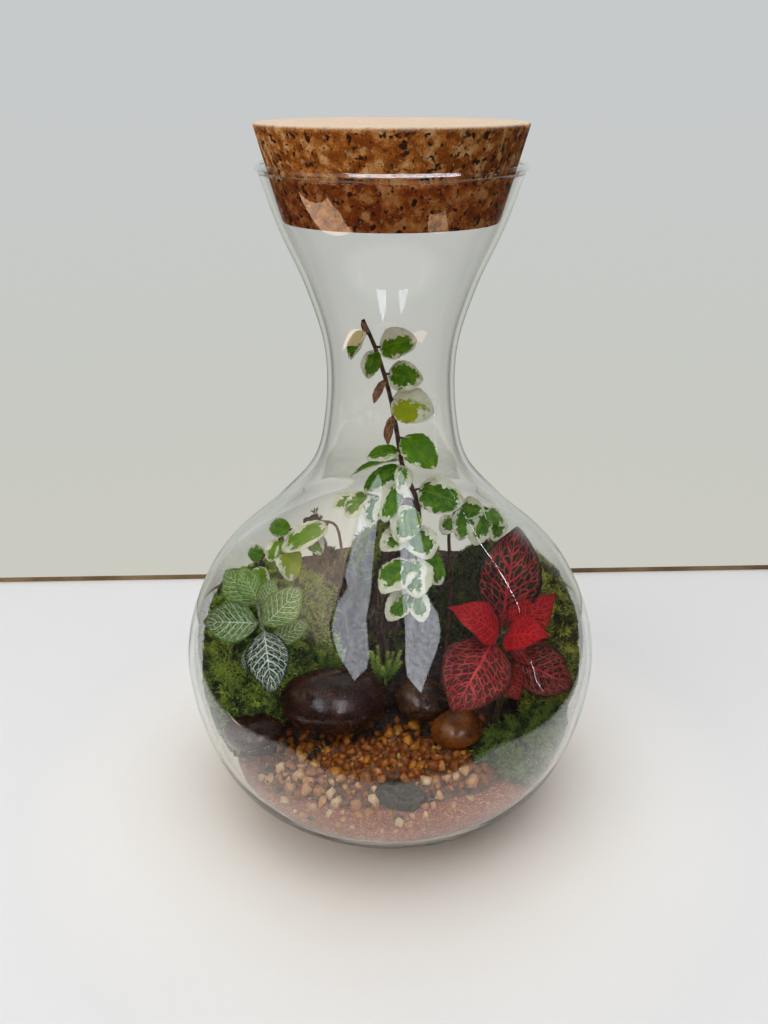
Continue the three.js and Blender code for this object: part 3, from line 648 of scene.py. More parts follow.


# Loose crumbs with painted shade in the hollows between them: one noise gives both their colour, darker where
# it is low, and their relief.
def crumbMaterial(name, rough, size, detail, stops, rise):
    material, add = newMaterial(name, {"Roughness": rough})
    crumbs = add("noise", add("place"), 1000 / size, detail)
    return finish(material, {"Base Color": add("ramp", crumbs, stops=stops),
                             "Normal": add("bump", crumbs, rise * mm, 0.9)})


# Broken quartz gravel, wet: grains of 3 to 5 mm, cloudy and a little see-through. Loose sand and soil crumbs
# are drawn with it too, each grain one of its tones.
def gravelMaterial(name, glow, stops):
    material, add = newMaterial(name, {"Roughness": 0.4, "Specular IOR Level": 0.3,
                                       "Subsurface Weight": glow, "Subsurface Scale": 2 * mm})
    coords = add("place")
    veins = add("noise", coords, 1000 / 2.4, 4)
    colour = add("ramp", add("attribute", attribute_name="tone"), stops=stops)
    colour.node.color_ramp.interpolation = "CONSTANT"
    pale, deep = add("range", veins, 0.45, 0.75, 0.0, 0.3), add("range", veins, 0.5, 0.25, 0.0, 0.5)
    colour = add("mix", pale, colour, "#f6e3bd", blend_type="OVERLAY")
    colour = add("mix", deep, colour, "#6b3812", blend_type="MULTIPLY")
    normal = add("bump", add("noise", coords, 1000 / 0.9, 4), 0.3 * mm, 0.5)
    return finish(material, {"Base Color": colour, "Normal": normal})


# Living cushion moss: shoots dark at the foot and fresh green at the tip, with patches of painted shade where
# it is darkened to the foot colour, as in hollows between clumps.
def mossMaterial(name, foot, middle, tip, pale, shade=None):
    material, add = newMaterial(name, {"Roughness": 0.62, "Specular IOR Level": 0.3,
                                       "Sheen Weight": 0.15, "Sheen Roughness": 0.4})
    height, tone = (add("attribute", attribute_name=label) for label in ("tip", "tone"))
    coords = add("place")
    patch = add("range", add("noise", coords, 1000 / 11, 3), 0.42, 0.6, 0.0, 0.85)
    colour = add("ramp", height, stops=[(0.0, foot), (0.5, middle), (1.0, tip)])
    colour = add("mix", patch, colour, pale)
    # painted shade: noise patches darkened to the foot colour stand for the shade in hollows between clumps
    hollowShade = add("range", add("noise", coords, 1000 / 7, 2), 0.38, 0.5, 0.9, 0.0)
    colour = add("mix", add("range", tone, 0.0, 1.0, 0.28, 0.0), add("mix", hollowShade, colour, foot), foot)
    # painted shade: below the given x, in mm, the moss is darkened to its foot colour, where it lies in shade
    # behind the leaves
    if shade:
        shaded = add("range", add("axes", coords), shade[0] * mm, shade[1] * mm, 0.85, 0.0)
        colour = add("mix", shaded, colour, foot)
    return finish(material, {"Base Color": colour})


# How grains lie: kinds of pebble from a shape seed on, their radius and flatness, distance apart, number per
# square metre, range of sizes, lean to the surface and tumble in radians.
heap = {"kinds": 6, "radius": 2.8, "flat": 0.85, "apart": 4.2, "dense": 500000, "size": (0.85, 1.4),
        "lean": 0.5, "tumble": 3.0, "seed": 2, "smooth": True}


def onFront(p):
    # amber gravel lies behind this wavy shore, pale grains before it
    return p[:, 1] + 3 * np.sin(p[:, 0] / 5) - 0.3 * np.clip(-p[:, 0] - 15, 0, 40) <= -44


# Each layer, with what is scattered on it and where: p are its points and n their normals.
layers = {
    "sand_body": {"node": "sand_bed", "slot": "sand", "voxel": 1.5, "relax": 3, "rough": (9, 0.35, 3),
                  "bears": {
        "sand_grains": {
            "slot": "sand", "look": "loose_sand_grains", "kinds": 3, "shape": 0, "radius": 0.42, "flat": 0.8,
            "apart": 1.1, "dense": 240000, "size": (0.6, 1.2), "lean": 0.6, "tumble": 3.0, "seed": 4,
            "where": lambda p, n: (p[:, 1] < 6) & (n[:, 2] > 0.5) & ~inStone(p)},
        "loose_quartz": {
            "look": "pale_quartz_gravel", "kinds": 6, "shape": 20, "radius": 2.6, "flat": 0.8, "apart": 3.7,
            "dense": 200000, "size": (0.6, 1.15), "lean": 0.3, "tumble": 3.0, "seed": 9, "smooth": True,
            "where": lambda p, n: np.exp(-(((p[:, 0] + 10) / 46) ** 2 + ((p[:, 1] + 50) / 21) ** 2) ** 3)},
    }},
    "soil_body": {"node": "soil_mound", "slot": "soil", "voxel": 1.8, "relax": 3, "rough": (5, 1.1, 3),
                  "bears": {
        "soil_crumbs": {
            "slot": "soil", "look": "soil_and_bark_crumbs", "kinds": 3, "shape": 40, "radius": 1.3,
            "flat": 0.7, "apart": 2.2, "dense": 90000, "size": (0.4, 1.2), "lean": 0.5, "tumble": 3.0,
            "seed": 6,
            "where": lambda p, n: (p[:, 1] < 40) & ~inStone(p, 1.0)},
        "scattered_gravel": {
            **heap, "look": "amber_quartz_gravel", "kinds": 5, "shape": 80, "flat": 0.8, "seed": 7,
            "where": lambda p, n: (p[:, 1] < -8) & (np.abs(p[:, 0] + 6) < 50) & ~inStone(p, 0.5)},
    }},
    "gravel_body": {"node": "gravel_heap", "slot": "gravel", "voxel": 1.1, "relax": 2, "bears": {
        "gravel_grains": {**heap, "look": "amber_quartz_gravel", "shape": 60, "radius": 3.0,
                          "where": lambda p, n: ~inStone(p, 0.2) & ~onFront(p)},
        "pale_grains": {**heap, "look": "pale_quartz_gravel", "shape": 90,
                        "where": lambda p, n: onFront(p)},
        "gravel_fill": {**heap, "look": "amber_quartz_gravel", "kinds": 4, "shape": 70, "radius": 2.6,
                        "apart": 2.4, "dense": 600000, "size": (0.45, 0.75), "seed": 14,
                        "where": lambda p, n: ~inStone(p, 0.2)},
    }},
}
# name: how far it glows through, and its tones
gravels = {
    "loose_sand_grains": (0.05, [(0.0, "#8b462e"), (0.3, "#a45d41"), (0.62, "#bd7b59"), (0.88, "#d9a683"),
                                 (0.97, "#40231a")]),
    "pale_quartz_gravel": (0.25, [(0.0, "#c8955f"), (0.2, "#d6a878"), (0.4, "#bb7e48"), (0.6, "#a86e40"),
                                  (0.8, "#dfbd90"), (0.95, "#4a4138")]),
    "amber_quartz_gravel": (0.25, [(0.0, "#96540e"), (0.22, "#ac6a14"), (0.42, "#86490a"), (0.6, "#c08028"),
                                   (0.76, "#7a3f0a"), (0.86, "#92470f"), (0.94, "#d2a056"),
                                   (0.98, "#26231f")]),
    "soil_and_bark_crumbs": (0.0, [(0.0, "#1c100a"), (0.45, "#382113"), (0.8, "#5f3c22"),
                                   (0.95, "#8a6238")]),
}
# name: roughness, size of the crumbs, detail, tones, relief. Soil is damp and dark, with bark and root fibre
# in it; the amber fines lie between the grains of the heap.
crumbLooks = {
    "soil_body": ("damp_potting_soil", 0.9, 2.6, 6,
                  [(0.3, "#120b07"), (0.5, "#2a1a10"), (0.66, "#4a2f1c"), (0.85, "#6d4a2e")], 2.0),
    "gravel_body": ("wet_amber_fines", 0.6, 1.8, 5,
                    [(0.3, "#3c2009"), (0.5, "#66390f"), (0.7, "#8a541b")], 1.6),
}


def makeGround():
    looks = {name: gravelMaterial(name, *plan) for name, plan in gravels.items()}
    beds = {name: crumbMaterial(*plan) for name, plan in crumbLooks.items()}
    beds["sand_body"] = sandMaterial()
    for name, plan in layers.items():
        bed = refined(name, plan["node"], plan["voxel"], plan["relax"], [beds[name]])
        toGlass(bed)
        if "rough" in plan:
            roughen(bed, *plan["rough"], upOnly=True)
        place(bed, plan["slot"], plan["node"])
        for kind, grain in plan["bears"].items():
            setGrow(bed, grain["where"])
            shapes = [pebbleShape("pebble", grain["shape"] + i, grain["radius"], grain["flat"])
                      for i in range(grain["kinds"])]
            place(scatter(kind, bed, shapes, grain, looks[grain["look"]]), grain.get("slot", "gravel"))


mossPlans = {
    "moss_left": {"colours": ("#101b04", "#668822", "#dcf070", "#bcd24c"), "seed": 11, "star": 4.6},
    "moss_back": {"colours": ("#171f06", "#64761e", "#c8d65a", "#aab444"), "seed": 21, "star": 4.6},
    # moss_right's shade is painted shade: below x 60 to 46 mm it is darkened to its foot colour, behind the
    # red leaf
    "moss_right": {"colours": ("#151e04", "#7a821e", "#e2e458", "#cec848"), "seed": 31, "star": 4.6,
                   "shade": (46, 60)},
    "moss_front": {"colours": ("#16260a", "#557419", "#aac24a", "#78942e"), "seed": 41, "star": 6.2},
}
mossBed = {"voxel": 1.3, "relax": 4, "rough": (8, 2.4, 4)}
# two sorts of shoot: kinds of tuft start at a seed, with blades, height, width and spread
mossShoots = {"seed": 0, "shape": 0, "tuft": (7, 2.9, 0.66, 1.05), "apart": 1.05, "dense": 520000,
              "size": (0.6, 1.25), "lean": 0.75, "tumble": 0.5}
mossStars = {"seed": 5, "shape": 10, "tuft": (14, None, 0.85, 1.25), "apart": 3.1, "dense": 90000,
             "size": (0.6, 1.25), "lean": 0.6, "tumble": 0.5}


def tufts(seed, shape):
    return [tuftShape("tuft", seed + i, *shape) for i in range(4)]


def makeMoss():
    for name, plan in mossPlans.items():
        foot, middle, _, _ = plan["colours"]
        humus = crumbMaterial(name + "_humus", 0.95, 1.6, 5, [(0.3, foot), (0.75, middle)], 1.4)
        bed = refined(name + "_bed", name, mossBed["voxel"], mossBed["relax"], [humus])
        roughen(bed, *mossBed["rough"])
        toGlass(bed)
        place(bed, "moss", name)
        setGrow(bed, lambda p, n: np.ones(len(p)), steep=0.05)
        look = mossMaterial(name + "_shoots", *plan["colours"], plan.get("shade"))
        for ending, sort in (("_shoots", mossShoots), ("_stars", mossStars)):
            blades, tall, wide, spread = sort["tuft"]
            shapes = tufts(plan["seed"] + sort["shape"], (blades, tall or plan["star"], wide, spread))
            growth = dict(sort, seed=plan["seed"] + sort["seed"])
            place(keepInside(scatter(name + ending, bed, shapes, growth, look)), "moss")


# Weathered driftwood: long grain, silvered ridges and dark cracks.
def woodMaterial():
    material, add = newMaterial("weathered_driftwood", {"Roughness": 0.8})
    fibre = add("noise", add("stretch", add("place"), (1, 1, 0.16)), 1000 / 1.2, 6)
    colour = add("ramp", fibre, stops=[(0.3, "#20150f"), (0.48, "#4c362b"), (0.62, "#7d6255"),
                                       (0.8, "#a68c7c")])
    damp = add("range", add("noise", add("place"), 1000 / 12, 3), 0.42, 0.62, 0.0, 0.6)
    return finish(material, {"Base Color": add("mix", damp, colour, "#3c1f15"),
                             "Normal": add("bump", fibre, 1.3 * mm, 1.0)})


limb = {"voxel": 0.7, "relax": 4, "rough": (3.2, 0.8, 4), "patch": 9, "share": 0.06}
driftwoodMoss = {"colours": ("#161d06", "#4d5c1b", "#97a63f", "#6d7426"), "apart": 1.5, "dense": 260000,
                 "size": (0.6, 1.3), "lean": 0.5, "tumble": 0.5, "seed": 51, "tuft": (8, 3.2, 0.7, 1.1)}


def makeDriftwood():
    piece = refined("driftwood_body", "driftwood", limb["voxel"], limb["relax"], [woodMaterial()])
    roughen(piece, *limb["rough"])
    place(piece, "driftwood", "driftwood")
    setGrow(piece, lambda p, n: fieldNoise(p * mm, limb["patch"], 2) > limb["share"], steep=-0.7)
    shoots = tufts(driftwoodMoss["seed"], driftwoodMoss["tuft"])
    look = mossMaterial("driftwood_moss", *driftwoodMoss["colours"])
    place(scatter("driftwood_moss", piece, shoots, driftwoodMoss, look), "moss")


# Stems and leaves

def unit(vector):
    return vector / np.linalg.norm(vector)


def stemRoute(points, count):
    # centripetal Catmull-Rom through the points, cut into equal steps
    points = np.asarray(points, float)
    padded = np.vstack([2 * points[0] - points[1], points, 2 * points[-1] - points[-2]])
    dense = []
    for i in range(len(points) - 1):
        p0, p1, p2, p3 = padded[i:i + 4]
        d0, d1, d2 = (max(np.linalg.norm(b - a) ** 0.5, 1e-4) for a, b in ((p0, p1), (p1, p2), (p2, p3)))
        leaving = ((p1 - p0) / d0 - (p2 - p0) / (d0 + d1) + (p2 - p1) / d1) * d1
        arriving = ((p2 - p1) / d1 - (p3 - p1) / (d1 + d2) + (p3 - p2) / d2) * d1
        dense += [cubic(p1, p2, leaving, arriving, t) for t in np.arange(16) / 16]
    dense = np.array(dense + [points[-1]])
    length = np.concatenate([[0], np.cumsum(np.linalg.norm(np.diff(dense, axis=0), axis=1))])
    even = np.linspace(0, length[-1], count)
    return np.stack([np.interp(even, length, dense[:, k]) for k in range(3)], 1)


def tubePart(route, radii, sides=8, material=1, wobble=0.0):
    count = len(route)
    radii = np.interp(np.linspace(0, 1, count), np.linspace(0, 1, len(radii)), radii)
    ahead = np.gradient(route, axis=0)
    side = unit(np.cross(ahead[0], (0.3, 1, 0.2)))
    points, faces = [], gridFaces(count, sides, wrap=True)
    for i in range(count):
        direction = unit(ahead[i])
        side = unit(side - direction * side.dot(direction))
        other = np.cross(direction, side)
        for j in range(sides):
            a = 2 * math.pi * j / sides
            r = radii[i] * (1 + wobble * math.sin(2.7 * i + 3 * a))
            points.append(route[i] + r * (side * math.cos(a) + other * math.sin(a)))
    faces += [tuple(reversed(range(sides))), tuple(range((count - 1) * sides, count * sides))]
    return {"points": points, "faces": faces, "material": material}


# A leaf's shape: rows of ripples, where it bulges and how blunt it ends, teeth on its edge, thickness in
# millimetres, points along and across, and relief between the veins.
figLeaf = {"rows": (0.09, 0.28, 0.5, 0.72, 0.9), "bulge": 0.9, "blunt": 0.55, "crenate": 0.035, "teeth": 7,
           "ripple": 0.05, "thickness": 0.42, "long": 26, "across": 15, "quilt": 0.0, "crinkle": 0.5}
netLeaf = {"rows": (0.06, 0.19, 0.34, 0.5, 0.66, 0.81, 0.93), "bulge": 0.92, "blunt": 0.8, "crenate": 0.012,
           "teeth": 9, "ripple": 0.03, "thickness": 0.5, "long": 61, "across": 31, "quilt": 0.42,
           "crinkle": 0.25, "laterals": 8, "sweep": 0.3}


def leafPart(plan, kind, tone, cream, seed):
    base, tip, width, facing = plan
    base, along = np.array(base, float), np.array(tip, float) - np.array(base, float)
    length = np.linalg.norm(along)
    side = unit(np.cross(along, facing))
    up = unit(np.cross(side, along))
    rows, across = kind["long"], kind["across"]
    u = np.linspace(0, 1, rows)[:, None]
    v = np.linspace(-1, 1, across)[None, :]
    outline = np.sin(np.pi * np.clip(u, 1e-4, 1 - 1e-4) ** kind["bulge"]) ** kind["blunt"]
    teeth = 1 + kind["crenate"] * np.cos(2 * math.pi * kind["teeth"] * u)
    half = np.maximum(width / 2 * outline * teeth, 0.3 * (1 - u) + 0.05)
    row = np.interp(u, (0,) + kind["rows"] + (1,), np.arange(-1, len(kind["rows"]) + 1))
    # an arch along the blade, a fold at the midrib, and ripples that follow the rows
    fold = np.sqrt(v ** 2 + 0.006) - 0.077
    lift = 0.1 * length * np.sin(np.pi * u) + 0.18 * half * fold
    lift = lift + kind["ripple"] * width * np.abs(v) * np.sin(2.4 * row + np.sign(v)) * np.minimum(1, 6 * u)
    if kind["quilt"]:  # the blade swells between its veins
        vein = kind["laterals"] * (u - kind["sweep"] * np.abs(v))
        pillow = (0.5 - 0.5 * np.cos(2 * math.pi * vein)) * np.sin(math.pi * np.clip(np.abs(v), 0, 1)) ** 0.6
        lift = lift + kind["quilt"] * (pillow - 0.5) * outline * width / 22
    roll = random.Random(seed)
    shift = Vector((roll.uniform(0, 50), roll.uniform(0, 50), 0))
    crinkle = np.array([[noise.noise(Vector((a * 5, b * 2.5, 0)) + shift) for b in v[0]] for a in u[:, 0]])
    lift = lift + kind["crinkle"] * crinkle * (0.3 + 0.7 * np.abs(v) ** 2) * outline * width / 14
    middle = base + along * u[..., None]
    upper = middle + side * (half * v)[..., None] + up * lift[..., None]
    thin = kind["thickness"] * (1 - 0.55 * np.abs(v) ** 3) * np.ones_like(u)
    lower = upper - up * thin[..., None]
    points = np.concatenate([upper.reshape(-1, 3), lower.reshape(-1, 3)])
    low = rows * across
    faces = gridFaces(rows, across) + gridFaces(rows, across, low, flip=True)
    # once round the edge, to close the blade between its two sides
    grid = np.arange(low).reshape(rows, across)
    rim = np.concatenate([grid[0, 1:-1], grid[:, -1], grid[-1, -2:0:-1], grid[::-1, 0]]).tolist()
    for a, b in zip(rim, rim[1:] + rim[:1]):
        faces.append((b, a, a + low, b + low))
    flat = np.stack(np.broadcast_arrays(u, 0.5 + 0.5 * v), -1).reshape(-1, 2)
    return {"points": points, "faces": faces, "uv": np.concatenate([flat, flat]), "tone": tone,
            "cream": cream}


def leafCoords(add):
    u, v = (add("axes", add("ownUv"), out=i) for i in (0, 1))
    signed = add("MULTIPLY_ADD", v, 2.0, -1.0)
    return u, signed, add("ABSOLUTE", signed)


# a usual leaf and its blocks of cells in millimetres, how far apart two leaves' patterns lie, and the colours
figLook = {
    "long": 15.0, "half": 6.0, "apart": 90.0, "block": 1.25, "wander": 4.5, "patch": 2.6, "crinkle": 1.3,
    "greens": [(0.0, "#265a04"), (0.55, "#4b8304"), (0.85, "#769f04"), (1.0, "#b2b404")], "fresh": "#79ab0a",
    "margin": ("#f6f4e0", "#e4e7c8"), "clouded": "#a9b579", "rib": "#b9cc50",
}


# Creeping fig, variegated: a saw-edged green middle in a wide cream margin, as the leaf's blocks of cells
# leave it.
def figMaterial():
    material, add = newMaterial("variegated_fig_leaf", {"Roughness": 0.45, "Specular IOR Level": 0.12,
                                                        "Subsurface Weight": 0.12,
                                                        "Subsurface Scale": 2 * mm})
    u, signed, across = leafCoords(add)
    tone, cream = (add("attribute", attribute_name=label) for label in ("tone", "cream"))
    sizes = (figLook["long"], figLook["half"], figLook["apart"])
    coords = add("joined", *(add("MULTIPLY", *pair) for pair in zip((u, signed, tone), sizes)))
    block = add("cells", coords, 1 / figLook["block"], out="Position")
    blockU, blockV = (add("DIVIDE", add("axes", block, out=i), sizes[i]) for i in (0, 1))
    lean = add("MULTIPLY_ADD", add("FRACT", add("MULTIPLY", tone, 7.3)), 0.9, -0.45)
    offset = add("ABSOLUTE", add("ADD", blockV, lean))
    ends = add("MINIMUM", add("MULTIPLY", blockU, 3.2), add("MULTIPLY", add("SUBTRACT", 1.0, blockU), 1.9))
    inside = add("MINIMUM", add("SUBTRACT", 1.0, offset), ends)
    wander = add("noise", coords, 1 / figLook["wander"], 2)
    reach = add("ADD", inside, add("MULTIPLY_ADD", wander, 0.9, -0.45))
    spare = add("SUBTRACT", reach, add("MULTIPLY", cream, 0.66))
    patch = add("noise", coords, 1 / figLook["patch"], 3)
    deep = add("ramp", tone, stops=figLook["greens"])
    deep = add("mix", add("range", patch, 0.42, 0.66, 0.0, 0.5), deep, figLook["fresh"])
    pale = add("mix", add("range", patch, 0.3, 0.7), *figLook["margin"])
    clouded = add("MULTIPLY", add("range", spare, -0.2, -0.06), add("range", wander, 0.42, 0.58, 0.0, 0.75))
    pale = add("mix", clouded, pale, figLook["clouded"])
    colour = add("mix", add("range", spare, -0.006, 0.006), pale, deep)
    laterals = add("PINGPONG", add("MULTIPLY", add("MULTIPLY_ADD", across, -0.32, u), 6.0), 0.5)
    vein = add("range", laterals, 0.02, 0.09, 1.0, 0.0)
    rib = add("range", across, 0.02, 0.07, 1.0, 0.0)
    lines = add("MAXIMUM", add("MULTIPLY", vein, 0.6), rib)
    colour = add("mix", add("MULTIPLY", lines, 0.2), colour, figLook["rib"])
    crinkled = add("noise", coords, 1 / figLook["crinkle"], 4)
    height = add("SUBTRACT", crinkled, add("MULTIPLY", lines, 0.6))
    return finish(material, {"Base Color": colour, "Normal": add("bump", height, 0.6 * mm, 0.7)})


# Net leaf: midrib, swept laterals with one between each pair, and a mesh of fine veins, drawn in the
# blade's own u and v.
def netMaterial(name, look):
    material, add = newMaterial(name, {"Roughness": 0.45, "Specular IOR Level": 0.2,
                                       "Subsurface Weight": 0.08, "Subsurface Scale": 1.5 * mm})
    u, signed, across = leafCoords(add)
    tone, fresh = (add("attribute", attribute_name=label) for label in ("tone", "cream"))
    coords = add("joined", u, signed, add("MULTIPLY", tone, 7.0))
    drift = add("MULTIPLY_ADD", add("noise", coords, 1 / 0.16, 2), 0.36, -0.18)
    swept = add("MULTIPLY_ADD", across, -netLeaf["sweep"], u)
    station = add("MULTIPLY_ADD", swept, netLeaf["laterals"], drift)
    width = add("range", across, 0.0, 0.95, look["lateral"], look["lateral"] * 0.4)
    thick = add("range", add("SUBTRACT", width, add("PINGPONG", station, 0.5)), -0.025, 0.02)
    steps = [add("MULTIPLY", *pair) for pair in zip((station, signed, tone), look["cells"] + (5.0,))]
    net = add("cells", {"Vector": add("joined", *steps), "Scale": 1.0, "Randomness": 0.9},
              feature="DISTANCE_TO_EDGE", voronoi_dimensions="2D")
    fine = add("range", net, look["fine"] * 0.4, look["fine"], 1.0, 0.0)
    rib = add("range", add("MULTIPLY_ADD", u, 0.05, across), look["rib"] * 0.6, look["rib"], 1.0, 0.0)
    fade = add("MULTIPLY", add("range", across, 0.84, 0.97, 1.0, 0.0), add("range", u, 0.93, 0.99, 1.0, 0.0))
    veins = add("MAXIMUM", thick, add("MULTIPLY", fine, look["fineShare"]))
    veins = add("MAXIMUM", add("MULTIPLY", veins, fade), rib)
    mottled = add("noise", coords, 1 / 0.2, 4)
    youth = add("MULTIPLY", fresh, look["freshShare"])
    blade = add("mix", add("range", mottled, 0.35, 0.65), look["dark"], look["blade"])
    blade = add("mix", add("range", across, 0.8, 1.0, 0.0, 0.8), blade, look["edge"])
    blade = add("mix", youth, blade, look["fresh"])
    line = add("mix", add("range", mottled, 0.3, 0.7), look["vein"], look["veinLight"])
    line = add("mix", youth, line, look["veinFresh"])
    colour = add("mix", add("MULTIPLY", veins, look["show"]), blade, line)
    height = add("MULTIPLY_ADD", veins, -1.0, add("MULTIPLY", mottled, 0.3))
    return finish(material, {"Base Color": colour, "Normal": add("bump", height, 0.4 * mm, 0.8)})


# Woody young stem: brown bark, fine ridges.
def barkMaterial(name, dark, light):
    material, add = newMaterial(name, {"Roughness": 0.6})
    grain = add("noise", add("stretch", add("place"), (1, 1, 0.4)), 1000 / 1.1, 4)
    colour = add("mix", add("range", grain, 0.35, 0.65), dark, light)
    return finish(material, {"Base Color": colour, "Normal": add("bump", grain, 0.3 * mm, 0.6)})


front = (0, -0.92, 0.4)
figs = {
    "fig_centre": {
        "stems": [
            ([(8, 14, 37), (10, 11, 80), (12, 6, 112), (11.5, 1, 138), (5, 0, 156), (2.5, 1, 171),
              (-0.5, 1, 187), (-6, 0, 206), (-11, 0, 217.5)], (1.5, 0.8)),
            ([(6, 0, 154), (4, -4, 142), (8, -8, 130), (11, -11, 116), (9, -13, 102)], (0.9, 0.6)),
            ([(11, 3, 130), (0, 1, 138), (-9, 3, 141), (-15, 4, 139)], (0.9, 0.6)),
        ],
        # base, tip, width, the way the upper side faces, tone of the green, share of cream
        "leaves": [
            ((-4.5, 0, 206.5), (10, -5, 210.5), 13, (-0.1, -0.9, 0.5), 0.45, 0.55),
            ((-1, 1, 195.5), (12.5, -5, 194.5), 12.5, (0.1, -1, 0.3), 0.35, 0.5),
            ((0.5, 1, 184.5), (17, -6, 181), 15.5, front, 0.97, 0.68),
            ((-10.5, 0, 213.5), (-16, -3, 202.5), 6.5, (-0.6, -0.8, 0), 0.3, 0.2),
            ((-6, 0, 205.5), (-9, -6, 195.5), 8, (-0.3, -1, 0.1), 0.25, 0.35),
            ((5, 0, 168.5), (18, -9, 158.5), 13.5, (0.3, -1, 0.5), 0.5, 0.08),
            ((3.5, 0, 162.5), (-9.5, -6, 161.5), 7.5, (0, -0.75, 0.7), 0.55, 0.25),
            ((4, 2, 158), (-17, 1, 150.5), 5, (0, -0.2, 1), 0.3, 0.3),
            ((4.5, 0, 155.5), (-11, -3, 145.5), 10, (-0.2, -1, 0.2), 0.15, 0.15),
            ((5.5, -2, 157), (4, -12, 148), 8, (0.3, -0.9, 0.5), 0.6, 0.75),
            ((12, 0, 145.5), (30, -8, 142), 16, front, 0.18, 0.42),
            ((2, -5, 149.5), (-2.5, -15, 136.5), 9, (-0.2, -1, 0.3), 0.4, 0.45),
            ((4.5, -4, 143), (-7, -13, 137), 9, (-0.2, -0.6, 0.8), 0.5, 0.6),
            ((8, -8, 141), (3.5, -19, 129), 13, (0.1, -0.9, 0.5), 0.25, 0.5),
            ((9, -8, 130), (17, -17, 121), 14, (0.3, -0.9, 0.4), 0.2, 0.55),
            ((8, -8, 129), (-4, -15, 124), 11, (-0.3, -0.8, 0.6), 0.35, 0.8),
            ((10, -12, 116), (-4, -22, 107.5), 15, (-0.2, -0.6, 0.9), 0.3, 0.62),
            ((11, -11, 118), (11, -24, 106), 14, (0.1, -0.9, 0.4), 0.15, 0.58),
            ((12, -9, 119), (22, -14, 107), 11, (0.5, -0.9, 0.2), 0.4, 0.3),
            ((9, -13, 104), (-1, -22, 94), 11, (-0.3, -0.9, 0.3), 0.25, 0.6),
            ((10, -13, 103), (14, -23, 94), 10, (0.2, -0.9, 0.3), 0.2, 0.7),
            ((-9, 3, 141.5), (-19, -2, 133), 10, (-0.2, -0.8, 0.6), 0.45, 0.6),
            ((-14, 4, 140), (-25, 3, 135), 9, (-0.1, -0.5, 0.9), 0.5, 0.7),
            ((-6, 2, 141), (-9, -6, 131), 9, (-0.1, -1, 0.3), 0.35, 0.5),
        ],
    },
    "fig_left": {
        "stems": [
            ([(-18, 17, 40), (-22, 14, 84), (-22, 11, 112), (-25, 12, 123), (-33, 14, 123), (-43, 16, 119),
              (-52, 16, 112), (-59, 14, 103), (-62, 11, 94)], (0.8, 0.5)),
        ],
        "leaves": [
            ((-28, 12, 122.5), (-48, 6, 112.5), 11.5, (-0.2, -0.75, 0.6), 0.75, 0.6),
            ((-38, 15, 121), (-31, 9, 109), 9, (0.2, -0.9, 0.4), 0.7, 0.3),
            ((-45, 16, 118), (-55, 20, 119), 9, (-0.3, -0.8, 0.5), 0.6, 0.1),
            ((-50, 16, 114), (-54, 8, 106), 8, (-0.3, -0.9, 0.3), 0.8, 0.3),
            ((-57, 15, 106), (-65, 17, 107), 8, (-0.4, -0.8, 0.5), 0.5, 0.2),
            ((-48, 15, 113), (-44, 5, 98), 12, (0.3, -0.9, 0.3), 0.93, 0.3),
            ((-60, 13, 101), (-57, 5, 92), 9, (0, -0.95, 0.3), 0.75, 0.35),
            ((-61, 12, 97), (-69, 8, 89), 8, (-0.4, -0.9, 0.2), 0.5, 0.4),
        ],
    },
    "fig_right": {
        "stems": [
            ([(27, 18, 40), (28, 15, 90), (27, 11, 126), (33, 10, 134), (42, 11, 131.5), (49, 11, 127)],
             (1.1, 0.6)),
        ],
        "leaves": [
            ((31, 10, 133), (40, 3, 134), 10, (0.1, -0.9, 0.5), 0.15, 0.4),
            ((42, 11, 131.5), (50, 5, 126), 8.5, (0.2, -0.9, 0.5), 0.3, 0.5),
            ((28, 10, 128), (22.5, 2, 123), 9, (-0.1, -0.9, 0.5), 0.2, 0.75),
            ((32, 11, 131), (30, 2, 120), 10, (0.2, -0.9, 0.3), 0.5, 0.35),
            ((40, 11, 131), (37, 3, 117), 11, (0, -0.95, 0.3), 0.25, 0.78),
            ((48, 11, 127.5), (45, 3, 119), 8, (0.2, -0.9, 0.3), 0.2, 0.5),
        ],
    },
}
young = {"bulge": 0.8, "blunt": 1.05}  # a young leaf draws out to a point
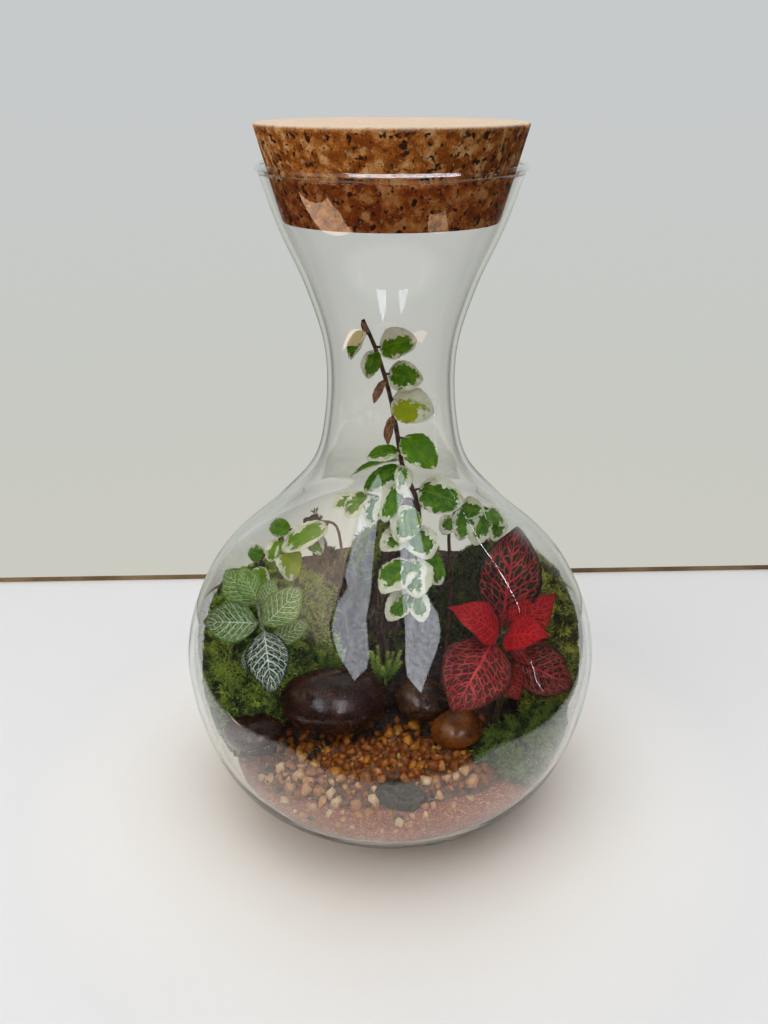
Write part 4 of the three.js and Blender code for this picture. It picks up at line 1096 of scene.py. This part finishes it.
netLeaves = {
    "fittonia_red": {
        "slot": "net_leaf_red",
        "stems": [([(49, -8, 26), (51, -10, 56), (49, -14, 82)], (1.6, 1.2))],
        # base, tip, width, the way the upper side faces, tone, how young
        "leaves": [
            ((48.5, -12, 84), (52.5, -7, 130.5), 27, (-0.1, -0.97, 0.15), 0.1, 0.0, {"bulge": 1.12}),
            ((47, -17, 83), (24, -28, 104), 18, (-0.3, -0.55, 0.8), 0.6, 0.95, young),
            ((52, -13, 84), (70, -16, 104), 18, (0.05, -0.9, 0.45), 0.7, 0.75, young),
            ((49, -19, 84), (65, -34, 94), 18, (0.1, -0.6, 0.8), 0.5, 1.0, young),
            ((44, -22, 84), (25.5, -52, 69), 30, (-0.15, -0.85, 0.55), 0.3, 0.15),
            ((54, -13, 70), (80, -22, 60), 23, (0.3, -0.8, 0.5), 0.9, 0.05),
            ((49, -15, 68), (56, -27, 57), 13, (0.1, -0.9, 0.3), 0.8, 0.3),
            ((52, -11, 73), (71, -11, 72), 15, (0.2, -0.75, 0.6), 0.2, 0.3),
        ],
        "look": {"dark": "#10180a", "blade": "#28340f", "edge": "#0e1f0b", "fresh": "#b81012",
                 "freshShare": 0.85,
                 "vein": "#a41c26", "veinLight": "#de4450", "veinFresh": "#fc3040", "lateral": 0.085,
                 "cells": (1.9, 4.6), "fine": 0.11, "fineShare": 0.85, "rib": 0.075, "show": 0.95},
        "stem": ("#3a3a1a", "#6d4a34"),
    },
    "fittonia_white": {
        "slot": "net_leaf_white",
        "stems": [([(-54, -9, 37), (-56, -12, 64), (-56, -13, 86), (-58, -6, 93)], (1.4, 0.9))],
        "leaves": [
            ((-57, -15, 88), (-80, -17, 90), 18, (-0.1, -0.8, 0.6), 0.2, 0.5),
            ((-55, -13, 86), (-39, -6, 101), 16, (0.25, -0.9, 0.35), 0.4, 0.75),
            ((-54, -18, 86), (-48.5, -41, 70), 18.5, (0.1, -0.85, 0.5), 0.6, 0.0),
            ((-59, -7, 93), (-73, 4, 104), 16, (-0.25, -0.8, 0.55), 0.8, 0.8),
            ((-58, -7, 95), (-65, 1, 107), 11, (0, -0.9, 0.4), 0.3, 0.9),
            ((-53, -10, 74), (-36, -4, 82), 11, (0.2, -0.6, 0.8), 0.5, 0.6),
            ((-57, -14, 76), (-63, -27, 72), 9, (-0.2, -0.8, 0.5), 0.7, 0.2),
            ((-56, -8, 92), (-51, -3, 103.5), 9.5, (0.2, -0.9, 0.4), 0.9, 0.8),
        ],
        "look": {"dark": "#0f2a19", "blade": "#1d4426", "edge": "#12331d", "fresh": "#7dab30",
                 "freshShare": 0.85,
                 "vein": "#cddfc9", "veinLight": "#f6faf2", "veinFresh": "#d6eaa8", "lateral": 0.095,
                 "cells": (2.2, 3.8), "fine": 0.12, "fineShare": 0.6, "rib": 0.06, "show": 0.92},
        "stem": ("#5c6b45", "#8f9a72"),
    },
}


stalk = {"touching": 0.8, "rise": 0.4, "into": 0.6, "short": 1.2, "radii": (0.62, 0.42), "sides": 7,
         "rings": 7}


def stalkPart(root, base, tip):
    # from the nearest point of a stem a little way into the leaf
    ahead = unit(tip - base)
    route = [root, base, base + stalk["short"] * ahead]
    if np.linalg.norm(root - base) > stalk["touching"]:
        route = [root, (root + base) / 2 + (0, 0, stalk["rise"]), base + stalk["into"] * ahead]
    return tubePart(stemRoute(route, stalk["rings"]), stalk["radii"], stalk["sides"])


def makePlant(name, plan, kind, slot, materials, seed):
    along = np.concatenate([stemRoute(points, 61) for points, _ in plan["stems"]])
    parts = [tubePart(stemRoute(points, 8 * len(points)), radii, 9, wobble=0.06)
             for points, radii in plan["stems"]]
    for i, (base, tip, width, facing, tone, cream, *own) in enumerate(plan["leaves"]):
        shape = dict(kind, **own[0]) if own else kind
        parts.append(leafPart((base, tip, width, facing), shape, tone, cream, seed + i))
        base, tip = np.array(base, float), np.array(tip, float)
        root = along[np.argmin(np.linalg.norm(along - base, axis=1))]
        parts.append(stalkPart(root, base, tip))
    place(meshObject(name + "_leaves", parts, materials), slot, name)


# dried leaf scales on the stem: base, tip, width and facing
driedBits = [((1.2, 0.2, 178), (-1.2, -3.2, 166.5), 4.6, (-0.6, -0.8, 0.2)),
             ((-2.2, 0.6, 193), (-6.8, -2.4, 184), 3.8, (-0.5, -0.85, 0.2)),
             ((-8.4, 0, 211.5), (-11.5, -1.4, 217.2), 2.4, (-0.3, -0.9, 0.2))]
driedLeaf = dict(figLeaf, long=12, across=7, thickness=0.3, crinkle=0.9)


def makePlants():
    looks = [figMaterial(), barkMaterial("fig_stem_bark", "#2e1b12", "#6a4733")]
    for i, (name, plan) in enumerate(figs.items()):
        makePlant(name, plan, figLeaf, "fig_leaf", looks, 100 * i)
    dried = barkMaterial("dried_fig_scale", "#4d2b1c", "#a5744f")
    parts = [leafPart(bit, driedLeaf, 0.5, 0.5, 900 + i) for i, bit in enumerate(driedBits)]
    place(meshObject("dried_scales", parts, [dried]), "fig_leaf")
    for i, (name, plan) in enumerate(netLeaves.items()):
        looks = [netMaterial(name + "_leaf", plan["look"]), barkMaterial(name + "_stem", *plan["stem"])]
        makePlant(name, plan, netLeaf, plan["slot"], looks, 500 + 50 * i)


sprigs = {
    "sprig_left": {"foot": (-28.5, 7.5, 35), "reach": 7, "rise": 30, "blades": 6, "seed": 3},
    "sprig_centre": {"foot": (-3, 8, 35), "reach": 8, "rise": 23, "blades": 6, "seed": 12},
}
needle = {"rows": (0.5,), "bulge": 0.7, "blunt": 0.8, "crenate": 0, "teeth": 1, "ripple": 0.0,
          "thickness": 0.14, "long": 4, "across": 3, "quilt": 0, "crinkle": 0.0}
frond = {"steps": 15, "radii": (0.28, 0.12), "bow": 1.4, "needle": 2.7, "shorter": 0.09, "width": 0.55}


def dice(seed):
    state = seed
    while True:
        state = state * 16807 % 2147483647
        yield state / 2147483647


# Fresh club moss: each frond is a fine stalk set all round with slim pointed leaves.
def sprigMaterial():
    material, add = newMaterial("fresh_club_moss", {"Roughness": 0.5, "Subsurface Weight": 0.1,
                                                    "Subsurface Scale": 1 * mm})
    colour = add("ramp", add("attribute", attribute_name="tone"),
                 stops=[(0.0, "#47731a"), (0.5, "#8aae36"), (1.0, "#d4e270")])
    shade = add("range", add("noise", add("place"), 1000 / 4, 3), 0.4, 0.7, 0.0, 0.5)
    return finish(material, {"Base Color": add("mix", shade, colour, "#3f5f14")})


def needles(route):
    # whorls of four, each turned on from the last, shorter and lighter towards the tip
    last = len(route) - 1
    parts = []
    for k in range(2, last + 1):
        ahead = unit(route[min(k + 1, last)] - route[k - 1])
        side = unit(np.cross(ahead, (0.3, 0.2, 1)))
        other = np.cross(ahead, side)
        for j in range(4):
            a = (j + 0.5 * k) * math.pi / 2
            outward = side * math.cos(a) + other * math.sin(a)
            end = route[k] + (outward * 0.8 + ahead * 0.7) * (frond["needle"] - frond["shorter"] * k)
            plan = (route[k], end, frond["width"], outward * -0.7 + ahead)
            parts.append(leafPart(plan, needle, 0.15 + 0.055 * k, 0.5, k))
    return parts


def makeSprigs():
    look = sprigMaterial()
    for name, plan in sprigs.items():
        foot, reach, rise = np.array(plan["foot"], float), plan["reach"], plan["rise"]
        roll = dice(plan["seed"])
        stem = stemRoute([foot, foot + (1, -1, 0.3 * rise), foot + (0, 0, 0.55 * rise)], 14)
        parts = [tubePart(stem, (0.8, 0.5), 7, material=0)]
        for i in range(2 * plan["blades"]):
            angle = i / plan["blades"] * math.pi + next(roll)
            outward = np.array((math.cos(angle), math.sin(angle), 0))
            spread = outward * reach * (0.6 + 0.5 * next(roll))
            low = foot + (0, 0, rise * (0.2 + 0.3 * next(roll)))
            tip = foot + spread + (0, 0, rise * (0.78 + 0.3 * next(roll)))
            route = stemRoute([low, (low + tip) / 2 + frond["bow"] * outward, tip], frond["steps"])
            parts.append(dict(tubePart(route, frond["radii"], 4, material=0), tone=0.3))
            parts += needles(route)
        place(meshObject(name + "_fronds", parts, [look]), "sprig", name)


# Floor, light and camera

floor = {
    "corners": [(-150, -146, 0), (148, -144, 0), (290, 202, 0), (-290, 177.5, 0)], "edge": 3.4,
    # board tones: the warm, bright inner colour near the flask is painted light, the outer one the plain
    # board
    "board": [(0.25, "#f6efe4"), (0.44, "#f0efed"), (0.56, "#e7e8e9")], "worn": ("#6f5736", "#8f7750"),
}


# A table top of painted board: satin and near white. About the flask it is painted warmer and brighter, as
# light thrown back from the sand into the flask's shadow.
def boardMaterial():
    material, add = newMaterial("pale_painted_board", {"Roughness": 0.5, "Specular IOR Level": 0.3})
    away = add("ShaderNodeVectorMath", {0: add("place")}, out=1, operation="LENGTH")
    # painted light: warmer and brighter towards the flask, for the light bounced from the sand
    tint = add("MULTIPLY_ADD", add("noise", add("place"), 1000 / 150, 3), 0.1, add("MULTIPLY", away, 3.0))
    return finish(material, {"Base Color": add("ramp", tint, stops=floor["board"])})


# Bare wood at the board's far edge, where the paint is worn off.
def edgeMaterial():
    material, add = newMaterial("worn_brown_edge", {"Roughness": 0.9})
    rubbed = add("range", add("noise", add("place"), 1000 / 30, 3), 0.35, 0.65)
    return finish(material, {"Base Color": add("mix", rubbed, *floor["worn"])})


def makeFloor():
    corners = floor["corners"]
    meshObject("floor", [{"points": corners, "faces": [(0, 1, 2, 3)]}], [boardMaterial()])
    far = [corners[3], corners[2]]
    strip = far + [(x, y, floor["edge"]) for x, y, _ in reversed(far)]
    meshObject("wall_foot", [{"points": strip, "faces": [(0, 1, 2, 3)]}], [edgeMaterial()])


roomTones = {
    "wall": [(0.0, "#cdcbc0"), (0.55, "#c8c9c2"), (1.0, "#c7cacb")],
    "behind": [(0.0, "#1c1a18"), (0.5, "#242322"), (1.0, "#5c5d62")],
    "ceiling": "#bcbcba", "table": "#d2d0cc",
}


# A pale wall behind, and a dim room before it, so that the glass mirrors little but the windows.
def makeWorld():
    world = bpy.data.worlds.new("pale_room")
    scene.world = world
    world.use_nodes = True
    add = partial(addNode, world.node_tree)
    look = add("place", out="Generated")
    level = add("ShaderNodeVectorMath", {0: look, 1: (1, 1, 0)}, operation="MULTIPLY")
    level = add("ShaderNodeVectorMath", {0: level}, operation="NORMALIZE")
    ahead, up = add("axes", level, out=1), add("axes", look, out=2)
    wall = add("ramp", add("range", up, -0.75, 0.1), stops=roomTones["wall"])
    behind = add("ramp", add("range", up, -0.6, 0.9), stops=roomTones["behind"])
    colour = add("mix", add("range", ahead, 0.62, 0.88), behind, wall)
    colour = add("mix", add("range", up, 0.94, 0.97), colour, roomTones["ceiling"])
    colour = add("mix", add("range", up, -0.74, -0.82), colour, roomTones["table"])
    finish(world, {"Color": colour}, "Background")


def toward(direction):
    # azimuth turns from straight ahead of the flask to its right, elevation rises from the table
    azimuth, elevation = (math.radians(a) for a in direction)
    return Vector((math.sin(azimuth) * math.cos(elevation), -math.cos(azimuth) * math.cos(elevation),
                   math.sin(elevation)))


# Sheets of light that only the glass mirrors, folded like curtains. Each is strung between two edges of
# directions seen from the flask: two windows narrowed by their curtains, the glow along the rim, the gaps
# between shutters that leave the glints on its shoulder, a drape, and the table's light on either side.
sheets = {
    "window_left": {"radiance": 3.5,
                    "edges": (((-40, 67), (-54, 60), (-46, 52), (-36, 42), (-28, 31), (-19.5, 22)),
                              ((-25, 69), (-23, 62), (-17, 52), (-13, 40), (-13, 29), (-18.5, 22)))},
    "window_right": {"radiance": 4.1,
                     "edges": (((14, 69), (13, 60), (11, 50), (9, 36), (9, 25), (15.5, 17.5)),
                               ((41, 67), (45, 59), (39, 52), (31, 42), (23, 28), (16.5, 17.5)))},
    "rim_glow": {"radiance": 15, "edges": (((-78, 58), (-59.5, 65), (0, 70), (52.8, 66), (76, 60)),
                                           ((-102, 59), (-93, 68), (0, 84), (89, 71), (98, 62)))},
    "glint_high": {"radiance": 26, "edges": (((104.6, 39.6), (100.3, 37.6), (95.7, 33.9), (91.6, 30.4)),
                                             ((104.2, 38.9), (99.8, 36.8), (95.2, 33.1), (91, 29.6)))},
    "glint_low": {"radiance": 12, "edges": (((79, 8), (79, -1), (83, -9)),
                                            ((79.4, 8), (79.4, -1), (83.3, -9)))},
    "window_drape": {"radiance": 2.15, "fade": 0.95, "colour": "#ffe9d0",
                     "edges": (((-100, 72), (-125, 58), (-128, 42), (-112, 27), (-82, 20)),
                               ((-42, 68), (-56, 61), (-50, 53), (-40, 44), (-31, 33)))},
    "table_left": {"radiance": 7.0, "colour": "#ffd6b0", "distance": 8000,
                   "edges": (((-95, -27.5), (-88, -32.3), (-81, -36.3)),
                             ((-64, -34.8), (-55, -38), (-45, -43)))},
    "table_right": {"radiance": 4.0, "colour": "#ffd6b0", "distance": 8000,
                    "edges": (((39, -40.4), (42, -43.4)), ((57, -37.4), (67, -39.4)))},
}
sheetLook = {"distance": 1500, "colour": "#eef4ff", "fade": 0.0, "fold": 50}


def sheetMaterial(name, plan):
    material, add = newMaterial(name)
    folds = add("noise", add("stretch", add("place"), (1, 1, 0.25)), 1000 / plan["fold"], 3)
    folds = add("range", folds, 0.35, 0.65, 0.75, 1.2)
    across, along = (add("axes", add("ownUv"), out=i) for i in (0, 1))
    dim = 1 - plan["fade"]
    sideways, downward = add("range", across, 0.0, 0.6, dim, 1.0), add("range", along, 0.5, 1.0, 1.0, dim)
    shown = add("MULTIPLY", folds, add("MULTIPLY", sideways, downward))
    strength = add("MULTIPLY", shown, plan["radiance"])
    light = add("ShaderNodeEmission", {"Color": plan["colour"], "Strength": strength})
    return finish(material, {"Surface": light}, "Material Output")


def makeSheets():
    for name, own in sheets.items():
        plan = {**sheetLook, **own}
        points = [toward(corner) * plan["distance"] for edge in plan["edges"] for corner in edge]
        count = len(points) // 2
        faces = [(i, i + 1, count + i + 1, count + i) for i in range(count - 1)]
        spread = np.array([(side, i / (count - 1)) for side in (0, 1) for i in range(count)])
        look = sheetMaterial(name + "_daylight", plan)
        sheet = meshObject(name, [{"points": points, "faces": faces, "uv": spread}], [look], smooth=False)
        sheet.visible_camera = sheet.visible_diffuse = False
        sheet.visible_transmission = name.startswith("window")


# Soft lamps that light the scene without showing in the glass; their sizes and places are in metres.
lamps = {
    "ceiling_soft": {"at": (180, 88), "size": (3.2, 3.0), "radiance": 1.3, "colour": "#fffdfb"},
    "front_soft": {"at": (-36, 30), "size": (2.2, 1.0), "radiance": 2.2, "colour": "#fffcf8"},
}
lampPlace = {"distance": 1.6, "centre": (0, 0, 0.1)}


def makeLamps():
    for name, plan in lamps.items():
        wide, tall = plan["size"]
        data = bpy.data.lights.new(name, "AREA")
        data.shape, data.size, data.size_y = "RECTANGLE", wide, tall
        data.energy = math.pi * wide * tall * plan["radiance"]
        data.color = linear(plan["colour"])[:3]
        lamp = bpy.data.objects.new(name, data)
        lamp.location = toward(plan["at"]) * lampPlace["distance"] + Vector(lampPlace["centre"])
        lamp.rotation_euler = toward(plan["at"]).to_track_quat("Z", "Y").to_euler()
        lamp.visible_camera = lamp.visible_glossy = lamp.visible_transmission = False
        scene.collection.objects.link(lamp)


# The camera that the photograph was fitted with: its place in metres, its angle down in degrees, and the
# focal length, height and sideways shift in pixels of the photograph.
view = {"place": (0, -0.3605, 0.3007), "down": 24.74, "focal": 930, "aside": 7, "tall": 1024}


def makeCamera():
    data = bpy.data.cameras.new("camera")
    data.sensor_fit, data.sensor_height = "VERTICAL", 36
    data.lens = data.sensor_height * view["focal"] / view["tall"]
    data.clip_start = 0.01
    camera = bpy.data.objects.new("camera", data)
    camera.location = view["place"]
    camera.rotation_euler = (math.radians(90 - view["down"]), 0, math.atan(view["aside"] / view["focal"]))
    scene.collection.objects.link(camera)
    scene.camera = camera


for make in (makeFloor, makeWorld, makeSheets, makeLamps, makeCamera, makeFlask, makeCork, makeGround,
             makeMoss, makeStones, makeSlate, makeDriftwood, makePlants, makeSprigs):
    make()
